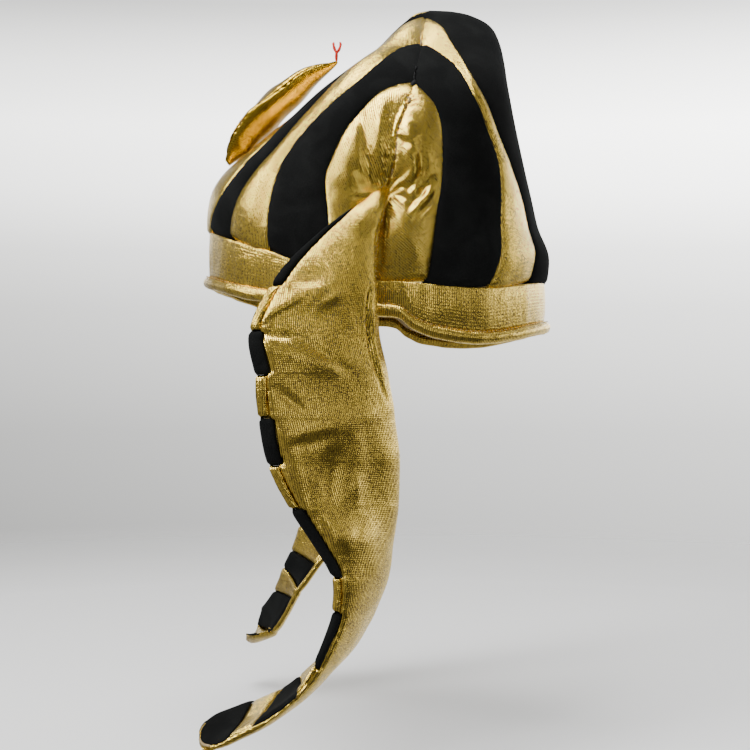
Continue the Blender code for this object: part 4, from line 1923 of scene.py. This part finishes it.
@dataclass
class Tongue:
    """A forked tongue of red yarn: a stem that splits into two prongs."""

    root: Array
    rows: int = 40
    columns: int = 10
    start_radius: float = 0.0004
    ridge: float = 0.18
    twist: float = 0.5
    strands: tuple[tuple[Bend, ...], ...] = (
        (
            Bend(0.3, -0.5, -1.0, 0.55),
            Bend(0.4, -0.6, 2.5, 0.65),
            Bend(0.4, -0.6, 5.5, 0.75),
            Bend(0.3, -1.7, 8.5, 0.85),
            Bend(0.1, -2.2, 11.0, 0.80),
            Bend(0.0, -1.9, 12.2, 0.35),
        ),
        (
            Bend(-0.3, -0.1, -1.0, 0.55),
            Bend(-0.4, -0.1, 2.5, 0.65),
            Bend(-0.4, 0.1, 5.5, 0.75),
            Bend(-0.2, 1.5, 8.0, 0.85),
            Bend(0.0, 2.3, 10.8, 0.80),
            Bend(0.1, 1.7, 12.4, 0.35),
        ),
    )

    def build(self) -> bpy.types.Object:
        """Makes both strands as one piece.

        Returns:
            The finished object.
        """
        mesh = bmesh.new()
        for strand in self.strands:
            self._add_strand(mesh, Curve(strand))
        piece = mesh_object("cobra_yarn_tongue", mesh)
        piece.data.materials.append(RED_YARN.material())
        return fasten(piece, Slot.RED, ("cobra_tongue",))

    def _add_strand(self, mesh: bmesh.types.BMesh, bend: Curve) -> None:
        """Adds one closed strand.

        Args:
            mesh: The tongue's mesh.
            bend: The strand's line and radius.
        """
        ring = bmesh.ops.create_circle(
            mesh, cap_ends=True, segments=self.columns, radius=self.start_radius
        )["verts"]
        bmesh.ops.translate(mesh, verts=ring, vec=self._middle(bend, 0.0))
        cap = ring[0].link_faces[0]
        for row in range(1, self.rows + 1):
            at = bend.last * row / self.rows
            cap = bmesh.ops.extrude_discrete_faces(mesh, faces=[cap])["faces"][0]
            self._shape_ring(cap, bend, at, row)

    def _middle(self, bend: Curve, at: float) -> Vector:
        """The strand's middle at a fractional bend."""
        return Vector(self.root) + Vector([float(bend(axis, at)) / MM_PER_M for axis in "xyz"])

    def _shape_ring(self, cap: bmesh.types.BMFace, bend: Curve, at: float, row: int) -> None:
        """Puts the newest ring in place.

        Args:
            cap: The face that ends the strand.
            bend: The strand's line and radius.
            at: Its place on the strand, as a fractional bend.
            row: Its number.
        """
        middle = self._middle(bend, at)
        ahead = (self._middle(bend, at + 0.05) - self._middle(bend, at - 0.05)).normalized()
        aside = ahead.cross(Vector((0, 1, 0))).normalized()
        over = ahead.cross(aside)
        radius = float(bend("radius", at)) / MM_PER_M
        for number, vertex in enumerate(cap.verts):
            turn = math.tau * number / self.columns
            swell = 1 + self.ridge * math.sin(2 * turn + row * self.twist)
            vertex.co = middle + (aside * math.cos(turn) + over * math.sin(turn)) * radius * swell


# Studio


@dataclass
class Lamp:
    """A soft white area light that points at the origin."""

    name: str
    place: Triple
    size: tuple[float, float]
    power: float

    def build(self) -> bpy.types.Object:
        """Makes the light.

        Returns:
            The light's object.
        """
        data = bpy.data.lights.new(self.name, "AREA")
        data.shape = "RECTANGLE"
        data.size, data.size_y = self.size
        data.energy = self.power
        lamp = bpy.data.objects.new(self.name, data)
        lamp.location = self.place
        lamp.rotation_euler = (-Vector(self.place)).to_track_quat("-Z", "Y").to_euler()
        lamp.visible_camera = False
        bpy.context.scene.collection.objects.link(lamp)
        return lamp


@dataclass
class Studio:
    """A pale floor, a pale room, soft lights and the camera."""

    floor_z: float = -0.272
    floor_radius: float = 1.35
    floor_fade: float = 0.45
    camera_distance: float = 0.90
    camera_height: float = -0.044
    lens: float = 68.57
    brightest: float = 8.0
    backdrop: tuple[tuple[float, float], ...] = (
        (0.0, 0.9),
        (0.45, 0.95),
        (0.481, 1.15),
        (0.523, 1.8),
        (0.5436, 2.5),
        (0.564, 4.0),
        (0.5845, 4.9),
        (0.604, 3.5),
        (0.624, 1.6),
        (0.70, 0.9),
        (1.0, 0.8),
    )
    room: tuple[tuple[float, float], ...] = (
        (0.0, 0.18),
        (0.40, 0.19),
        (0.50, 0.20),
        (0.60, 0.215),
        (0.72, 0.30),
        (1.0, 0.46),
    )
    lamps: tuple[Lamp, ...] = (
        Lamp("overhead", (0.35, -0.25, 1.20), (0.6, 0.9), 30.0),
        Lamp("front", (0.75, -1.00, 0.70), (0.4, 0.6), 14.0),
        Lamp("rear", (0.75, 1.05, 0.35), (0.25, 0.8), 2.0),
    )

    def build(self) -> None:
        """Makes the floor, the world, the lights and the camera."""
        self._floor()
        self._world()
        for lamp in self.lamps:
            lamp.build()
        self._camera()

    def _floor(self) -> None:
        """A pale round floor that fades out at its edge."""
        mesh = bmesh.new()
        bmesh.ops.create_circle(mesh, cap_ends=True, segments=96, radius=self.floor_radius)
        bmesh.ops.translate(mesh, verts=mesh.verts, vec=(0, 0, self.floor_z))
        floor = mesh_object("floor", mesh, smooth=False)
        floor.data.materials.append(made_once("pale_floor", self._dress_floor))
        floor.visible_glossy = False

    def _dress_floor(self, graph: ShaderGraph) -> bpy.types.NodeSocket:
        """Fills the floor's graph.

        Args:
            graph: The graph to fill.

        Returns:
            The shader's socket.
        """
        place = graph.node("ShaderNodeTexCoord", {}, {}).outputs["Object"]
        far = graph.node("ShaderNodeVectorMath", {"operation": "LENGTH"}, {0: place})
        inside = self.floor_radius - graph.number(far, "Value")
        return graph.principled(
            {
                "Base Color": (0.80, 0.80, 0.80, 1.0),
                "Roughness": (graph.noise(0.02, 2.0) * 0.02 + 0.48).clamped(),
                "Alpha": (inside / (self.floor_radius * self.floor_fade)).clamped(),
            }
        )

    def _world(self) -> None:
        """A room with a bright backdrop on the wearer's right and a dimmer side behind the camera."""
        world = bpy.data.worlds.new("pale_room")
        bpy.context.scene.world = world
        graph = ShaderGraph(world)
        place = graph.node("ShaderNodeTexCoord", {}, {})
        parts = graph.node("ShaderNodeSeparateXYZ", {}, {0: place.outputs["Generated"]})
        aside, behind, height = (graph.number(parts, number) for number in range(3))
        level = height * 0.5 + 0.5
        drop = self._ramp(graph, level, self.backdrop) * (behind * 1.1 + 1.0).clamped(1.6)
        room = self._ramp(graph, level, self.room) * (1 - behind * 0.85)
        share = (aside * -1.6 - 0.15).clamped()
        tone = (drop * share + room * (1 - share)) * self.brightest
        colour = graph.node("ShaderNodeCombineColor", {}, {0: tone, 1: tone, 2: tone * 0.98})
        back = graph.node("ShaderNodeBackground", {}, {0: colour.outputs[0], 1: 1.0})
        graph.node("ShaderNodeOutputWorld", {}, {0: back.outputs[0]})

    def _ramp(
        self, graph: ShaderGraph, level: Signal, tones: tuple[tuple[float, float], ...]
    ) -> Signal:
        """The tone at a height from 0 below to 1 above, as a share of the brightest."""
        stops = [(place, (tone / self.brightest,) * 3) for place, tone in tones]
        return graph.number(graph.node("ShaderNodeValToRGB", {"stops": stops}, {0: level}))

    def _camera(self) -> None:
        """The camera, on the wearer's left."""
        data = bpy.data.cameras.new("camera")
        data.lens = self.lens
        data.sensor_width = 36.0
        camera = bpy.data.objects.new("camera", data)
        camera.location = (self.camera_distance, 0.0, self.camera_height)
        camera.rotation_euler = (math.pi / 2, 0.0, math.pi / 2)
        bpy.context.scene.collection.objects.link(camera)
        bpy.context.scene.camera = camera


def main() -> None:
    """Builds the headdress and the studio."""
    logging.basicConfig(level=logging.INFO, format="%(name)s: %(message)s")
    form = CrownForm()
    Crown(form).build()
    HeadBand(form).build()
    for side in Side:
        Lappet(form, side).build()
    Cobra(form).build()
    Studio().build()


if __name__ == "__main__":
    main()
